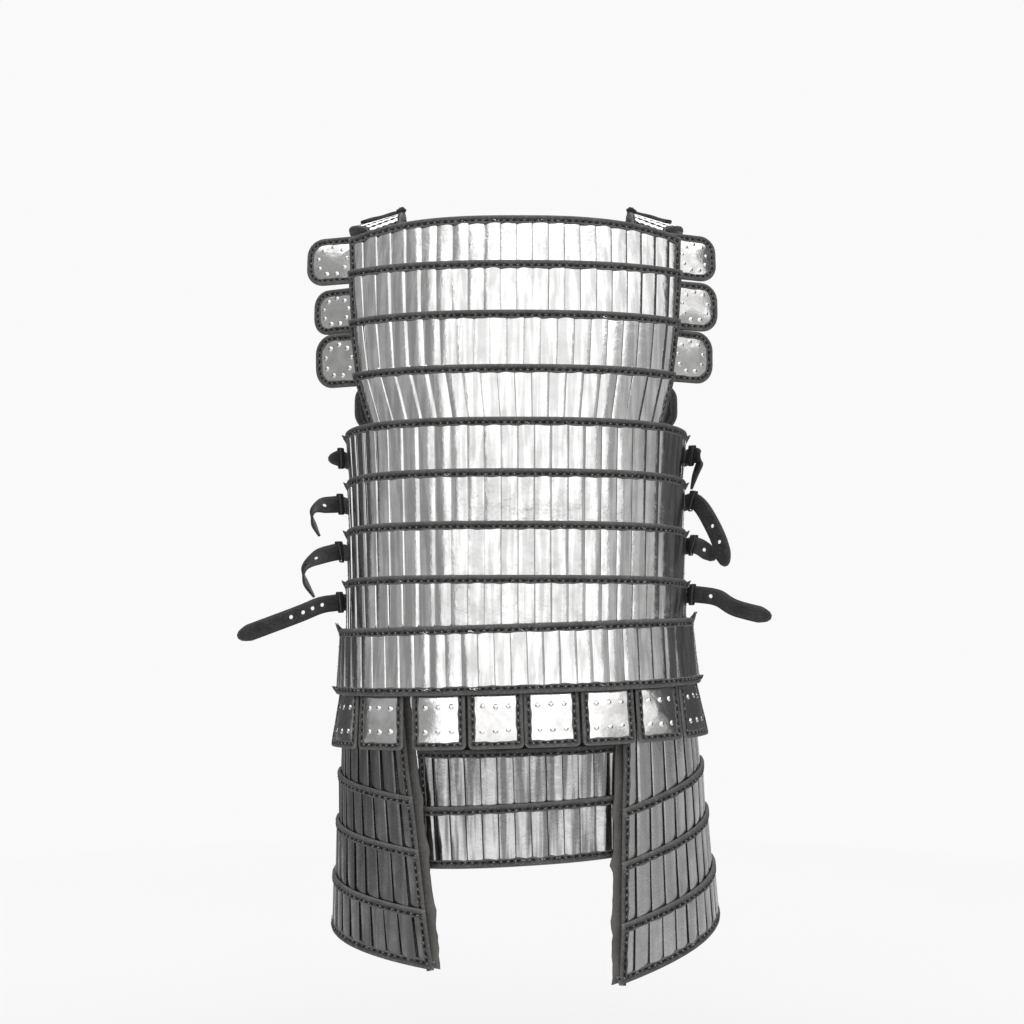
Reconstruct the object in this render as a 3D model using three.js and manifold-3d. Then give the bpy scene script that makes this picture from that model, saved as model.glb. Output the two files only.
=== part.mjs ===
// Lamellar armour: a worn steel cuirass with a waist row, hanging flaps, a rear skirt and two tassets.
//
// The wearer faces +Y, +X is the wearer's right and +Z is up. The origin lies midway between the
// shoulder straps, at the height where they rest on the shoulders. All sizes are in millimetres.
//
// The armour is a hollow shell. Every torso piece lies on the faceted surface of one leather
// backing, and its points are given as a distance along that surface from the middle of the back or
// front, a height, and a distance out from it. Each row is one band of flat facets that carries its
// leather binding, and its top stands outside the foot of the row above.
import * as THREE from 'three';
import { mergeVertices } from 'three/addons/utils/BufferGeometryUtils.js';
import Module from 'manifold-3d';

const wasm = await Module();
wasm.setup();

// Walls and edges.
const PLATE = 1.6; // steel lamella with its lacing
const LEATHER = 2.0; // backing under the rows
const BINDING_HEIGHT = 9.5; // leather that wraps the top edge of a row
const BINDING_PROUD = 2.2; // how far it stands out from the plates
const LAP = 8; // how far a row reaches down behind the binding below it
const FOOT_CLEAR = 0.8; // from the backing to the inside of a row at its foot
const HEAD_CLEAR = 3.8; // the same at its top, which clears the row above
const FACET = 30; // width of one flat facet of the surface
const ROUNDNESS = 2.4; // exponent of the rounded plan outline: 2 is an ellipse

// Heights of the torso rows' top edges, at the middle of the back.
const ROW_TOPS = [0, -55, -114, -176, -235, -292, -350, -410];
const WAIST_TOP = -464;
const WAIST_FOOT = -540;
const BACKING_FOOT = -522;
const NECK_DROP = 15; // how far the first row falls away towards the shoulders
const SIDE_DROOP = 6; // how far a row that goes round the side falls towards its end

// Plan of the backing at each height: half width, depth from its centre, and how far that centre
// lies in front of (behind, for the front panel) the line through the shoulders.
const TORSO_RINGS = [
  { z: 20, halfWidth: 242, depth: 150, centre: 57 },
  { z: 0, halfWidth: 240, depth: 150, centre: 52 },
  { z: -55, halfWidth: 235, depth: 150, centre: 37 },
  { z: -114, halfWidth: 226, depth: 150, centre: 25 },
  { z: -176, halfWidth: 212, depth: 143, centre: 12 },
  { z: -235, halfWidth: 197, depth: 133, centre: 0 },
  { z: -292, halfWidth: 195, depth: 131, centre: 0 },
  { z: -350, halfWidth: 195, depth: 128, centre: 0 },
  { z: -410, halfWidth: 196, depth: 128, centre: 0 },
  { z: -464, halfWidth: 198, depth: 129, centre: 0 },
  { z: -540, halfWidth: 206, depth: 136, centre: 0 },
];
const SIDE_GAP = 16; // between the back and the front panel at each side
const RIM = 1.5; // how far a backing's edge lies inside the edge of its bound rows

// The armholes: half width of the backing beside each row above them, at its top and at its foot.
const WRAP_ROW = 4; // the first row, counted from 0, that goes round to the sides
const ROW_BEYOND = 3.5; // how much wider the row itself is
const BACK_HALF_WIDTH = 188; // upper back, on average
const BACK_ENDS = {
  left: [[191, 191], [190, 189], [187, 184], [181, 167]],
  right: [[188, 188], [187, 186], [183, 179], [176, 164]],
};
const FRONT_ENDS = {
  left: [[165, 165], [165, 165], [165, 165], [165, 151]],
  right: [[165, 165], [165, 165], [165, 165], [165, 151]],
};

// Everything from the waist down hangs a little askew: turned about the middle of the waist.
const ASKEW = THREE.MathUtils.degToRad(1.8);
const WAIST_RINGS = [
  { z: WAIST_TOP, halfWidth: 207, depth: 138, centre: 0 },
  { z: WAIST_FOOT, halfWidth: 213, depth: 146, centre: 0 },
];

// Flaps: short plates with a leather edge that hang from inside the waist row and splay outwards.
const FLAP = { pitch: 64, width: 60, thickness: 3, top: -530, foot: -598 };
const FLAP_SHIFTS = [0, 0, 7, 6, 3, 2, 1, 0]; // how far each hangs out of its even place
const FLAP_RINGS = [
  { z: FLAP.top, halfWidth: 206.5, depth: 138.6, centre: 0 },
  { z: FLAP.foot, halfWidth: 223.5, depth: 162, centre: 0 },
];
const FLAP_BELT = 9; // height of the strip that the front flaps hang from

// Rear skirt: two rows on a leather backing that hangs from the waist, inside the flaps.
const SKIRT_TOPS = [-600, -660];
const SKIRT_FOOT = -728;
const SKIRT_HALF_WIDTH = 111;
const SKIRT_SLOPE = 0.03; // extra lean of its lower row
const SKIRT_BACKING_TOP = -535;
const SKIRT_RINGS = [
  { z: -500, halfWidth: 165, depth: 138, centre: 0 },
  { z: -760, halfWidth: 165, depth: 140, centre: 0 },
];

// Tassets: four rows round each thigh, on a leather backing. Their edges fall from the side
// towards the middle of the body.
const TASSET_TOPS = [-544, -628, -683, -745];
const TASSET_FOOT = -807;
const TASSET_BACKING_TOP = -532;
// How far the tassets' inner edges lie from the middle: behind, and in front where they open wider.
const TASSET_BACK_EDGE = { left: { top: 131, foot: 104 }, right: { top: 117, foot: 101 } };
const TASSET_FRONT_EDGE = { top: 150, foot: 128 };
const TASSET_ROUND = 25; // radius over which an edge's fall turns round at the side
const TASSET_FLANGE = 7; // backing beyond the plates at the inner edge
const TASSET_RINGS = [
  { z: -532, halfWidth: 200.5, depth: 134, centre: 0 },
  { z: -628, halfWidth: 209, depth: 143, centre: 0 },
  { z: -683, halfWidth: 212.5, depth: 147, centre: 0 },
  { z: -745, halfWidth: 218, depth: 151, centre: 0 },
  { z: -807, halfWidth: 224.5, depth: 155, centre: 0 },
  { z: -875, halfWidth: 230, depth: 158, centre: 0 },
];
const TASSET_DROP = { left: 28, right: 49 }; // how far its edges fall from the side inwards
const SIDES = [['left', -1], ['right', 1]];

// Ears: studded plates with one round end, tucked behind the edge of the armhole. turn is how many
// degrees each one turns forwards from the plane of the back, or backwards from that of the front.
const EAR = { tuck: 11, thickness: 3, inset: 3.9, roundness: 0.36 };
const BACK_EARS = {
  left: [
    { row: 0, z: -39, height: 58, reach: 61.5, turn: 18 },
    { row: 1, z: -100, height: 53, reach: 57, turn: 26 },
    { row: 2, z: -158.5, height: 62, reach: 57.5, turn: 23 },
  ],
  right: [
    { row: 0, z: -35, height: 56, reach: 54, turn: 22 },
    { row: 1, z: -95, height: 58, reach: 55.5, turn: 20 },
    { row: 2, z: -155, height: 60, reach: 57, turn: 24 },
  ],
};
const FRONT_EAR = { row: 3, z: -193, height: 60, reach: 48, turn: 24 };

// Shoulder straps: narrow plates on leather, over each shoulder, fastened inside both panels.
// Each station is [y and z of the inner edge, x and y of the outer edge].
const SHOULDER = { inner: 132, thickness: 4, fall: 16 / 68 };
const SHOULDER_STATIONS = [
  [-83, -32, 166, -68],
  [-79, -12, 168, -64],
  [-68, 4, 175, -53],
  [-47, 15, 192, -36],
  [-20, 20, 200, -13],
  [8, 20, 200, 10],
  [34, 14, 198, 30],
  [57, 2, 192, 48],
  [76, -16, 180, 60],
  [87, -38, 168, 70],
  [91, -66, 162, 76],
];

// Side straps. Each is riveted to the front panel, crosses the gap, and ends in a loose tail.
const STRAP = { width: 20, thickness: 2.6 };
const STRAP_START = [[200, 44], [205, 22], [208, 2], [209, -11]];
const SIDE_STRAPS = [
  { name: 'left_side_strap_1', side: -1, z: -267, turn: 0, tail: [[214, -18, -268], [223, -22, -269]] },
  {
    name: 'left_side_strap_2', side: -1, z: -322, turn: 1,
    tail: [[216, -19, -323], [230, -24, -325], [241, -26, -332], [240, -24, -346], [233, -22, -361]],
  },
  {
    name: 'left_side_strap_3', side: -1, z: -379, turn: 1,
    tail: [[216, -19, -380], [234, -25, -386], [250, -28, -399], [249, -26, -415], [239, -22, -433]],
  },
  {
    name: 'left_side_strap_4', side: -1, z: -439, turn: 0,
    tail: [[216, -19, -440], [232, -25, -443], [258, -31, -454], [326, -40, -480]],
  },
  {
    name: 'right_side_strap_1', side: 1, z: -264, turn: 1,
    tail: [[215, -18, -266], [217, -22, -276], [212, -22, -290], [208, -20, -305]],
  },
  {
    name: 'right_side_strap_2', side: 1, z: -318, turn: 0,
    tail: [[215, -19, -321], [224, -26, -334], [238, -34, -365], [246, -38, -397]],
  },
  {
    name: 'right_side_strap_3', side: 1, z: -371, turn: 0,
    tail: [[215, -17, -372], [224, -16, -377], [237, -14, -388]],
  },
  {
    name: 'right_side_strap_4', side: 1, z: -430, turn: 0,
    tail: [[216, -19, -430], [238, -26, -434], [258, -31, -446], [299, -38, -457]],
  },
];

const STEEL = new THREE.MeshStandardMaterial({ color: 0xc8cacd, roughness: 0.22, metalness: 1 });
const BACKING = new THREE.MeshStandardMaterial({ color: 0x3a3735, roughness: 0.75, metalness: 0 });
const STRAPPING = new THREE.MeshStandardMaterial({ color: 0x1d1c1c, roughness: 0.6, metalness: 0 });

// ---- The faceted surfaces ----

const mix = (a, b, t) => a + (b - a) * t;

// A distance without its sign, rounded off near zero.
const soften = (distance) => Math.hypot(distance, TASSET_ROUND) - TASSET_ROUND;

// One quarter of a ring's outline, from the middle of the back to the side, with its lengths.
function quarterOutline(ring) {
  const steps = 160;
  const points = [];
  for (let i = 0; i <= steps; i += 1) {
    const angle = ((i / steps) * Math.PI) / 2;
    const x = ring.halfWidth * Math.sin(angle) ** (2 / ROUNDNESS);
    const y = ring.depth * Math.cos(angle) ** (2 / ROUNDNESS);
    const last = points[i - 1];
    const along = last ? last.along + Math.hypot(x - last.x, y - last.y) : 0;
    points.push({ x, y, along });
  }
  return points;
}

// The surface through a stack of rings. Its columns lie at whole facets from the middle or, where
// fromSide is set, from the side, and everything between two columns is flat.
function makeSurface(rings, fromSide = false) {
  const quarters = rings.map(quarterOutline);
  const lengths = quarters.map((points) => points[points.length - 1].along);

  // Point and outward normal of one ring, at a distance from the middle that may pass the side.
  function onRing(level, distance) {
    const length = lengths[level];
    const past = Math.abs(distance) > length;
    const along = past ? 2 * length - Math.abs(distance) : Math.abs(distance);
    const points = quarters[level];
    let i = points.findIndex((point) => point.along > along);
    if (i < 1) i = points.length - 1;
    const [a, b] = [points[i - 1], points[i]];
    const t = (along - a.along) / (b.along - a.along);
    const sign = Math.sign(distance) || 1;
    const turn = past ? -1 : 1;
    const dx = (b.x - a.x) / (b.along - a.along);
    const dy = (b.y - a.y) / (b.along - a.along);
    return {
      x: sign * mix(a.x, b.x, t),
      y: turn * mix(a.y, b.y, t) - rings[level].centre,
      nx: sign * -dy,
      ny: turn * dx,
    };
  }

  function column(level, index, side) {
    const distance = fromSide ? side * (lengths[level] - index * FACET) : index * FACET;
    return onRing(level, distance);
  }

  function levelOf(z) {
    let level = 0;
    while (level < rings.length - 2 && z < rings[level + 1].z) level += 1;
    return [level, (z - rings[level].z) / (rings[level + 1].z - rings[level].z)];
  }

  // The point at a distance along, at a height, and so far out. facing is -1 for the back.
  function point(distance, z, out, facing = -1, side = 1) {
    const [level, down] = levelOf(z);
    const index = Math.floor(distance / FACET);
    const across = distance / FACET - index;
    const corners = [0, 1].map((step) => {
      const [a, b] = [level, level + 1].map((each) => column(each, index + step, side));
      return [
        mix(a.x, b.x, down) + out * mix(a.nx, b.nx, down),
        mix(a.y, b.y, down) + out * mix(a.ny, b.ny, down),
      ];
    });
    const x = mix(corners[0][0], corners[1][0], across);
    const y = mix(corners[0][1], corners[1][1], across);
    return new THREE.Vector3(x, facing * y, z);
  }

  // How far along the surface is a given distance out to the side, at a height.
  function reach(x, z) {
    const [level, down] = levelOf(z);
    const spans = [level, level + 1].map((ring) => {
      const found = quarters[ring].find((place) => place.x >= x);
      return found ? found.along : lengths[ring];
    });
    return mix(spans[0], spans[1], down);
  }

  function halfLength(z) {
    const [level, down] = levelOf(z);
    return mix(lengths[level], lengths[level + 1], down);
  }

  return { point, reach, halfLength };
}

const torso = makeSurface(TORSO_RINGS);
const waist = makeSurface(WAIST_RINGS);
const flapSurface = makeSurface(FLAP_RINGS);
const skirt = makeSurface(SKIRT_RINGS);
const tasset = makeSurface(TASSET_RINGS, true);

// ---- Solids ----

// The triangles that fill a loop of points laid out in two dimensions, in the loop's own order.
function fillLoop(flat) {
  const loop = flat.map(([u, v]) => new THREE.Vector2(u, v));
  if (!THREE.ShapeUtils.isClockWise(loop)) return THREE.ShapeUtils.triangulateShape(loop, []);
  const last = flat.length - 1;
  return THREE.ShapeUtils.triangulateShape([...loop].reverse(), [])
    .map((face) => face.map((index) => last - index).reverse());
}

// The triangles that fill the loop of a wall: down its outer points, then up its inner ones.
function fillWall(levels) {
  const faces = [];
  for (let i = 0; i + 1 < levels; i += 1) {
    const [inner, innerBelow] = [2 * levels - 1 - i, 2 * levels - 2 - i];
    faces.push([i, i + 1, innerBelow], [i, innerBelow, inner]);
  }
  return faces;
}

// A closed solid through a list of columns, each a closed loop of the same number of points.
// ends holds the triangles that close the first and the last loop.
function sweep(columns, ends) {
  const size = columns[0].length;
  const positions = columns.flat().flatMap((point) => [point.x, point.y, point.z]);
  const faces = [];
  for (let i = 0; i + 1 < columns.length; i += 1) {
    for (let j = 0; j < size; j += 1) {
      const k = (j + 1) % size;
      const [a, b, c, d] = [i * size + j, i * size + k, (i + 1) * size + k, (i + 1) * size + j];
      faces.push([a, b, c], [a, c, d]);
    }
  }
  const last = (columns.length - 1) * size;
  for (const [a, b, c] of ends) {
    faces.push([c, b, a], [last + a, last + b, last + c]);
  }
  const geometry = new THREE.BufferGeometry();
  geometry.setAttribute('position', new THREE.Float32BufferAttribute(positions, 3));
  geometry.setIndex(faces.flat());
  return outward(geometry);
}

// Turns every face over if the solid would be inside out.
function outward(geometry) {
  const index = geometry.index.array;
  const position = geometry.attributes.position;
  const [a, b, c] = [new THREE.Vector3(), new THREE.Vector3(), new THREE.Vector3()];
  let volume = 0;
  for (let i = 0; i < index.length; i += 3) {
    a.fromBufferAttribute(position, index[i]);
    b.fromBufferAttribute(position, index[i + 1]);
    c.fromBufferAttribute(position, index[i + 2]);
    volume += a.dot(b.cross(c));
  }
  if (volume < 0) geometry.setIndex([...index].reverse());
  return geometry;
}

// The same geometry with its corners merged and nothing but positions.
function plainMerged(geometry, within) {
  const plain = geometry.clone();
  plain.deleteAttribute('normal');
  plain.deleteAttribute('uv');
  return mergeVertices(plain, within);
}

function toSolid(geometry) {
  const merged = plainMerged(geometry, 1e-4);
  return new wasm.Manifold(new wasm.Mesh({
    numProp: 3,
    vertProperties: new Float32Array(merged.attributes.position.array),
    triVerts: new Uint32Array(merged.index.array),
  }));
}

function fromSolid(solid) {
  const { numProp, vertProperties, triVerts } = solid.getMesh();
  const positions = [];
  for (let i = 0; i < vertProperties.length; i += numProp) {
    positions.push(vertProperties[i], vertProperties[i + 1], vertProperties[i + 2]);
  }
  const geometry = new THREE.BufferGeometry();
  geometry.setAttribute('position', new THREE.Float32BufferAttribute(positions, 3));
  geometry.setIndex([...triVerts]);
  return geometry;
}

// The distances of the columns from start to end: both ends, and the whole facets between them.
function facetsBetween(start, end) {
  const least = 3;
  const inner = [];
  for (let i = Math.ceil((start + least) / FACET); i * FACET < end - least; i += 1) {
    inner.push(i * FACET);
  }
  return [start, ...inner, end];
}

// The section of a row, as [distance out, share of the way down, millimetres further down].
function rowSection(footBound) {
  const head = HEAD_CLEAR + PLATE;
  const foot = FOOT_CLEAR + PLATE;
  const proud = BINDING_PROUD;
  const section = [
    [HEAD_CLEAR, 0, 0],
    [head + proud, 0, 0],
    [head + proud, 0, BINDING_HEIGHT],
    [head, 0, BINDING_HEIGHT],
  ];
  if (footBound) {
    section.push([foot, 1, -BINDING_HEIGHT], [foot + proud, 1, -BINDING_HEIGHT], [foot + proud, 1, 0]);
  } else {
    section.push([foot, 1, 0]);
  }
  section.push([FOOT_CLEAR, 1, 0]);
  return section;
}

// One band of facets. Its two ends may differ at the top and the foot, as a tapered row's do.
function band({ surface, section, topAt, footAt, startAt, endAt, facing = -1, side = 1 }) {
  const [start, end] = [Math.max(...startAt), Math.min(...endAt)];
  const stops = facetsBetween(start, end).map((distance) => [distance, distance]);
  stops[0] = startAt;
  stops[stops.length - 1] = endAt;
  const columns = stops.map(([atTop, atFoot]) => section.map(([out, down, more]) => {
    const distance = mix(atTop, atFoot, down);
    const z = mix(topAt(distance), footAt(distance), down) - more;
    return surface.point(distance, z, out, facing, side);
  }));
  const height = 60; // a usual row's, enough to find how its end is filled
  const flat = section.map(([out, down, more]) => [out, -height * down - more]);
  return sweep(columns, fillLoop(flat));
}

// A wall of even thickness through a stack of heights, such as a backing.
function wall({ surface, inner, outer, heights, stops, facing = -1, side = 1 }) {
  const down = heights.map((height) => [outer, height]);
  const up = [...heights].reverse().map((height) => [inner, height]);
  const loop = [...down, ...up];
  const columns = stops.map((distance) => loop.map(([out, height]) => (
    surface.point(distance, height(distance), out, facing, side)
  )));
  return sweep(columns, fillWall(heights.length));
}

// Cuts a prism out of a solid. Its outline is in x and z, and it runs along y between two places.
const DEEP = 300; // beyond the armour, in front and behind
const BEYOND = 320; // beyond the armour, to the side
function cutPrism(solid, outline, side, from = -DEEP, to = DEEP) {
  const shape = new THREE.Shape(outline.map(([x, z]) => new THREE.Vector2(side * x, z)));
  const cutter = new THREE.ExtrudeGeometry(shape, { depth: to - from, bevelEnabled: false });
  cutter.translate(0, 0, -to);
  cutter.rotateX(Math.PI / 2);
  return solid.subtract(toSolid(cutter));
}

const armour = new THREE.Group();
const lower = new THREE.Group();
lower.position.z = WAIST_TOP;
lower.rotation.y = -ASKEW;
armour.add(lower);

function addPiece(parent, name, geometry, material) {
  const mesh = new THREE.Mesh(geometry, material);
  mesh.name = name;
  if (parent === lower) mesh.position.z = -WAIST_TOP;
  parent.add(mesh);
}

// ---- Torso rows and their backing ----

// Height of the top edge of a torso row, or of the waist row's top after the last one.
function rowTop(row, distance) {
  if (row === ROW_TOPS.length) return WAIST_TOP;
  const top = ROW_TOPS[row];
  const wraps = row >= WRAP_ROW;
  const end = wraps ? torso.halfLength(top) : torso.reach(BACK_HALF_WIDTH, top);
  const share = Math.min(Math.abs(distance) / end, 1);
  if (row === 0) return top - NECK_DROP * share ** 3;
  return wraps ? top - SIDE_DROOP * share ** 4 : top;
}

// How far a row reaches from the middle on one side, at its top and at its foot.
function rowEnds(row, ends) {
  const foot = ROW_TOPS[row + 1] ?? WAIST_TOP;
  const middle = (ROW_TOPS[row] + foot) / 2;
  if (row >= WRAP_ROW) {
    const end = torso.halfLength(middle) - SIDE_GAP / 2;
    return [end, end];
  }
  const widest = torso.reach(Math.max(...ends[row]) + ROW_BEYOND, middle);
  const end = Math.ceil(widest / FACET) * FACET;
  return [end, end];
}

// Cuts a row's end along the edge of the armhole.
function cutArmhole(solid, row, [atTop, atFoot], side) {
  const [top, foot] = [ROW_TOPS[row], ROW_TOPS[row + 1]];
  const slack = 30;
  return cutPrism(solid, [
    [atTop + ROW_BEYOND, top + slack],
    [atTop + ROW_BEYOND, top],
    [atFoot + ROW_BEYOND, foot],
    [atFoot + ROW_BEYOND, foot - slack],
    [BEYOND, foot - slack],
    [BEYOND, top + slack],
  ], side);
}

function torsoRow(row, facing, ends) {
  const geometry = band({
    surface: torso,
    section: rowSection(false),
    topAt: (distance) => rowTop(row, distance),
    footAt: (distance) => rowTop(row + 1, distance) - LAP,
    startAt: rowEnds(row, ends.left).map((distance) => -distance),
    endAt: rowEnds(row, ends.right),
    facing,
  });
  if (row >= WRAP_ROW) return geometry;
  let solid = toSolid(geometry);
  for (const [name, side] of SIDES) solid = cutArmhole(solid, row, ends[name][row], side);
  return fromSolid(solid);
}

// The backing of one face, with the armholes cut from its upper corners.
function torsoBacking(facing, ends, firstRow) {
  const end = torso.halfLength(ROW_TOPS[5]) - SIDE_GAP / 2 - 1;
  const heights = [(distance) => rowTop(firstRow, distance) - RIM];
  for (const ring of TORSO_RINGS) {
    if (ring.z < ROW_TOPS[firstRow] - 30 && ring.z > BACKING_FOOT) heights.push(() => ring.z);
  }
  heights.push(() => BACKING_FOOT);
  const shell = wall({
    surface: torso, inner: -LEATHER, outer: 0, heights, stops: facetsBetween(-end, end), facing,
  });
  const armpit = ROW_TOPS[WRAP_ROW] - SIDE_DROOP - RIM;
  const shoulder = 60;
  let solid = toSolid(shell);
  for (const [name, side] of SIDES) {
    const edge = ends[name].map(([atTop], row) => [atTop, ROW_TOPS[row]]);
    const armhole = [
      [edge[0][0], shoulder],
      ...edge,
      [ends[name][WRAP_ROW - 1][1], armpit],
      [BEYOND, armpit],
      [BEYOND, shoulder],
    ];
    solid = cutPrism(solid, armhole, side);
  }
  return fromSolid(solid);
}

for (let row = 0; row < ROW_TOPS.length; row += 1) {
  addPiece(armour, `back_row_${row + 1}`, torsoRow(row, -1, BACK_ENDS), STEEL);
}
for (let row = 1; row < ROW_TOPS.length; row += 1) {
  addPiece(armour, `front_row_${row + 1}`, torsoRow(row, 1, FRONT_ENDS), STEEL);
}
addPiece(armour, 'back_leather', torsoBacking(-1, BACK_ENDS, 0), BACKING);
addPiece(armour, 'front_leather', torsoBacking(1, FRONT_ENDS, 1), BACKING);

// ---- Waist row ----

function waistRow(facing) {
  const proud = PLATE + BINDING_PROUD;
  const end = waist.halfLength((WAIST_TOP + WAIST_FOOT) / 2) - SIDE_GAP / 2;
  return band({
    surface: waist,
    section: [
      [0, 0, 0],
      [proud, 0, 0],
      [proud, 0, BINDING_HEIGHT],
      [PLATE, 0, BINDING_HEIGHT],
      [PLATE, 1, -BINDING_HEIGHT],
      [proud, 1, -BINDING_HEIGHT],
      [proud, 1, 0],
      [0, 1, 0],
    ],
    topAt: () => WAIST_TOP,
    footAt: () => WAIST_FOOT,
    startAt: [-end, -end],
    endAt: [end, end],
    facing,
  });
}

addPiece(lower, 'back_waist', waistRow(-1), STEEL);
addPiece(lower, 'front_waist', waistRow(1), STEEL);

// ---- Flaps ----

function flapGeometry(index, facing) {
  const middle = (index - (FLAP_SHIFTS.length - 1) / 2) * FLAP.pitch + FLAP_SHIFTS[index];
  return wall({
    surface: flapSurface,
    inner: 0,
    outer: FLAP.thickness,
    heights: [() => FLAP.top, () => FLAP.foot],
    stops: facetsBetween(middle - FLAP.width / 2, middle + FLAP.width / 2),
    facing,
  });
}

for (let index = 0; index < FLAP_SHIFTS.length; index += 1) {
  addPiece(lower, `back_flap_${index + 1}`, flapGeometry(index, -1), STEEL);
}

// The front flaps, on the leather strip that joins their tops.
const halfStrip = (FLAP_SHIFTS.length * FLAP.pitch) / 2;
let frontFlaps = toSolid(wall({
  surface: flapSurface,
  inner: 0,
  outer: FLAP.thickness,
  heights: [() => FLAP.top, () => FLAP.top - FLAP_BELT],
  stops: facetsBetween(-halfStrip, halfStrip),
  facing: 1,
}));
for (let index = 0; index < FLAP_SHIFTS.length; index += 1) {
  frontFlaps = frontFlaps.add(toSolid(flapGeometry(index, 1)));
}
addPiece(lower, 'front_flaps', fromSolid(frontFlaps), STEEL);

// ---- Rear skirt ----

// Height of an edge of the skirt: its first row hangs level and the lower edges lean.
function skirtEdge(edge, distance) {
  const heights = [...SKIRT_TOPS, SKIRT_FOOT];
  return heights[edge] + (edge > 0 ? SKIRT_SLOPE * distance : 0);
}

for (const row of [0, 1]) {
  const last = row === SKIRT_TOPS.length - 1;
  const reach = skirt.reach(SKIRT_HALF_WIDTH, SKIRT_TOPS[row]);
  const geometry = band({
    surface: skirt,
    section: rowSection(last),
    topAt: (distance) => skirtEdge(row, distance),
    footAt: (distance) => skirtEdge(row + 1, distance) - (last ? 0 : LAP),
    startAt: [-reach, -reach],
    endAt: [reach, reach],
  });
  addPiece(lower, `back_skirt_${row + 1}`, geometry, STEEL);
}
const skirtReach = skirt.reach(SKIRT_HALF_WIDTH, SKIRT_FOOT) - 1;
const skirtBacking = wall({
  surface: skirt,
  inner: -LEATHER,
  outer: 0,
  heights: [() => SKIRT_BACKING_TOP, (distance) => skirtEdge(2, distance) + RIM],
  stops: facetsBetween(-skirtReach, skirtReach),
});
addPiece(lower, 'back_skirt_leather', skirtBacking, BACKING);

// ---- Tassets ----

// A tasset's distances run from the side, positive towards the back, negative towards the front.
// Each inner edge is straight when seen from behind, so what lies inside that line is cut away.
function innerOutline(edge, beyond) {
  const slack = 80;
  const lean = (edge.top - edge.foot) / (TASSET_BACKING_TOP - TASSET_FOOT);
  return [
    [0, TASSET_BACKING_TOP + slack],
    [edge.top - beyond + lean * slack, TASSET_BACKING_TOP + slack],
    [edge.foot - beyond - lean * slack, TASSET_FOOT - slack],
    [0, TASSET_FOOT - slack],
  ];
}

function cutInnerEdges(geometry, beyond, name, side) {
  const backOutline = innerOutline(TASSET_BACK_EDGE[name], beyond);
  const behind = cutPrism(toSolid(geometry), backOutline, side, -DEEP, 0);
  return fromSolid(cutPrism(behind, innerOutline(TASSET_FRONT_EDGE, beyond), side, 0, DEEP));
}

for (const [name, side] of SIDES) {
  const drop = TASSET_DROP[name];
  const wide = tasset.halfLength(TASSET_FOOT) - tasset.reach(TASSET_BACK_EDGE[name].foot, TASSET_FOOT);
  const fallAt = (distance) => (drop * soften(distance)) / soften(wide);
  const edges = [...TASSET_TOPS, TASSET_FOOT];
  const far = wide + 2 * TASSET_FLANGE;
  for (let row = 0; row < TASSET_TOPS.length; row += 1) {
    const last = row === TASSET_TOPS.length - 1;
    const geometry = band({
      surface: tasset,
      section: rowSection(last),
      topAt: (distance) => edges[row] - fallAt(distance),
      footAt: (distance) => edges[row + 1] - fallAt(distance) - (last ? 0 : LAP),
      startAt: [-far, -far],
      endAt: [far, far],
      side,
    });
    addPiece(lower, `${name}_tasset_${row + 1}`, cutInnerEdges(geometry, 0, name, side), STEEL);
  }
  const backing = wall({
    surface: tasset,
    inner: -LEATHER,
    outer: 0,
    heights: [
      ...TASSET_RINGS.slice(0, 4).map(({ z }) => () => z),
      (distance) => TASSET_FOOT + 2 - fallAt(distance),
    ],
    stops: facetsBetween(-far, far),
    side,
  });
  const leather = cutInnerEdges(backing, TASSET_FLANGE, name, side);
  addPiece(lower, `${name}_tasset_leather`, leather, BACKING);
}

// ---- Ears at the armholes ----

// A plate that is square towards the body and round towards the arm, placed behind an edge.
function ear({ row, z, height, reach, turn }, facing, side, ends) {
  const down = (ROW_TOPS[row] - z) / (ROW_TOPS[row] - ROW_TOPS[row + 1]);
  const halfWidth = mix(...ends[row], down);
  const round = height * EAR.roundness;
  const outline = new THREE.Shape();
  outline.moveTo(-EAR.tuck, -height / 2);
  outline.lineTo(reach - round, -height / 2);
  outline.absarc(reach - round, -height / 2 + round, round, -Math.PI / 2, 0, false);
  outline.absarc(reach - round, height / 2 - round, round, 0, Math.PI / 2, false);
  outline.lineTo(-EAR.tuck, height / 2);
  const options = { depth: EAR.thickness, bevelEnabled: false, curveSegments: 5 };
  const geometry = new THREE.ExtrudeGeometry(outline, options);
  const edge = torso.point(torso.reach(halfWidth, z), z, -EAR.inset, facing);
  const [high, low] = [z + height / 2, z - height / 2].map((level) => (
    torso.point(torso.reach(halfWidth, level), level, -EAR.inset, facing)
  ));
  const angle = THREE.MathUtils.degToRad(turn);
  const along = new THREE.Vector3(side * Math.cos(angle), -facing * Math.sin(angle), 0);
  const up = new THREE.Vector3(0, (high.y - low.y) / height, 1);
  const inward = along.clone().cross(up).normalize();
  if (inward.y * facing > 0) inward.negate();
  const place = new THREE.Matrix4().makeBasis(along, up, inward);
  place.setPosition(side * edge.x, edge.y, z);
  return outward(plainMerged(geometry, 1e-3).applyMatrix4(place));
}

for (const [name, side] of SIDES) {
  BACK_EARS[name].forEach((spec, index) => {
    addPiece(armour, `back_ear_${name}_${index + 1}`, ear(spec, -1, side, BACK_ENDS[name]), STEEL);
  });
  addPiece(armour, `front_ear_${name}`, ear(FRONT_EAR, 1, side, FRONT_ENDS[name]), BACKING);
}

// ---- Straps ----

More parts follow.
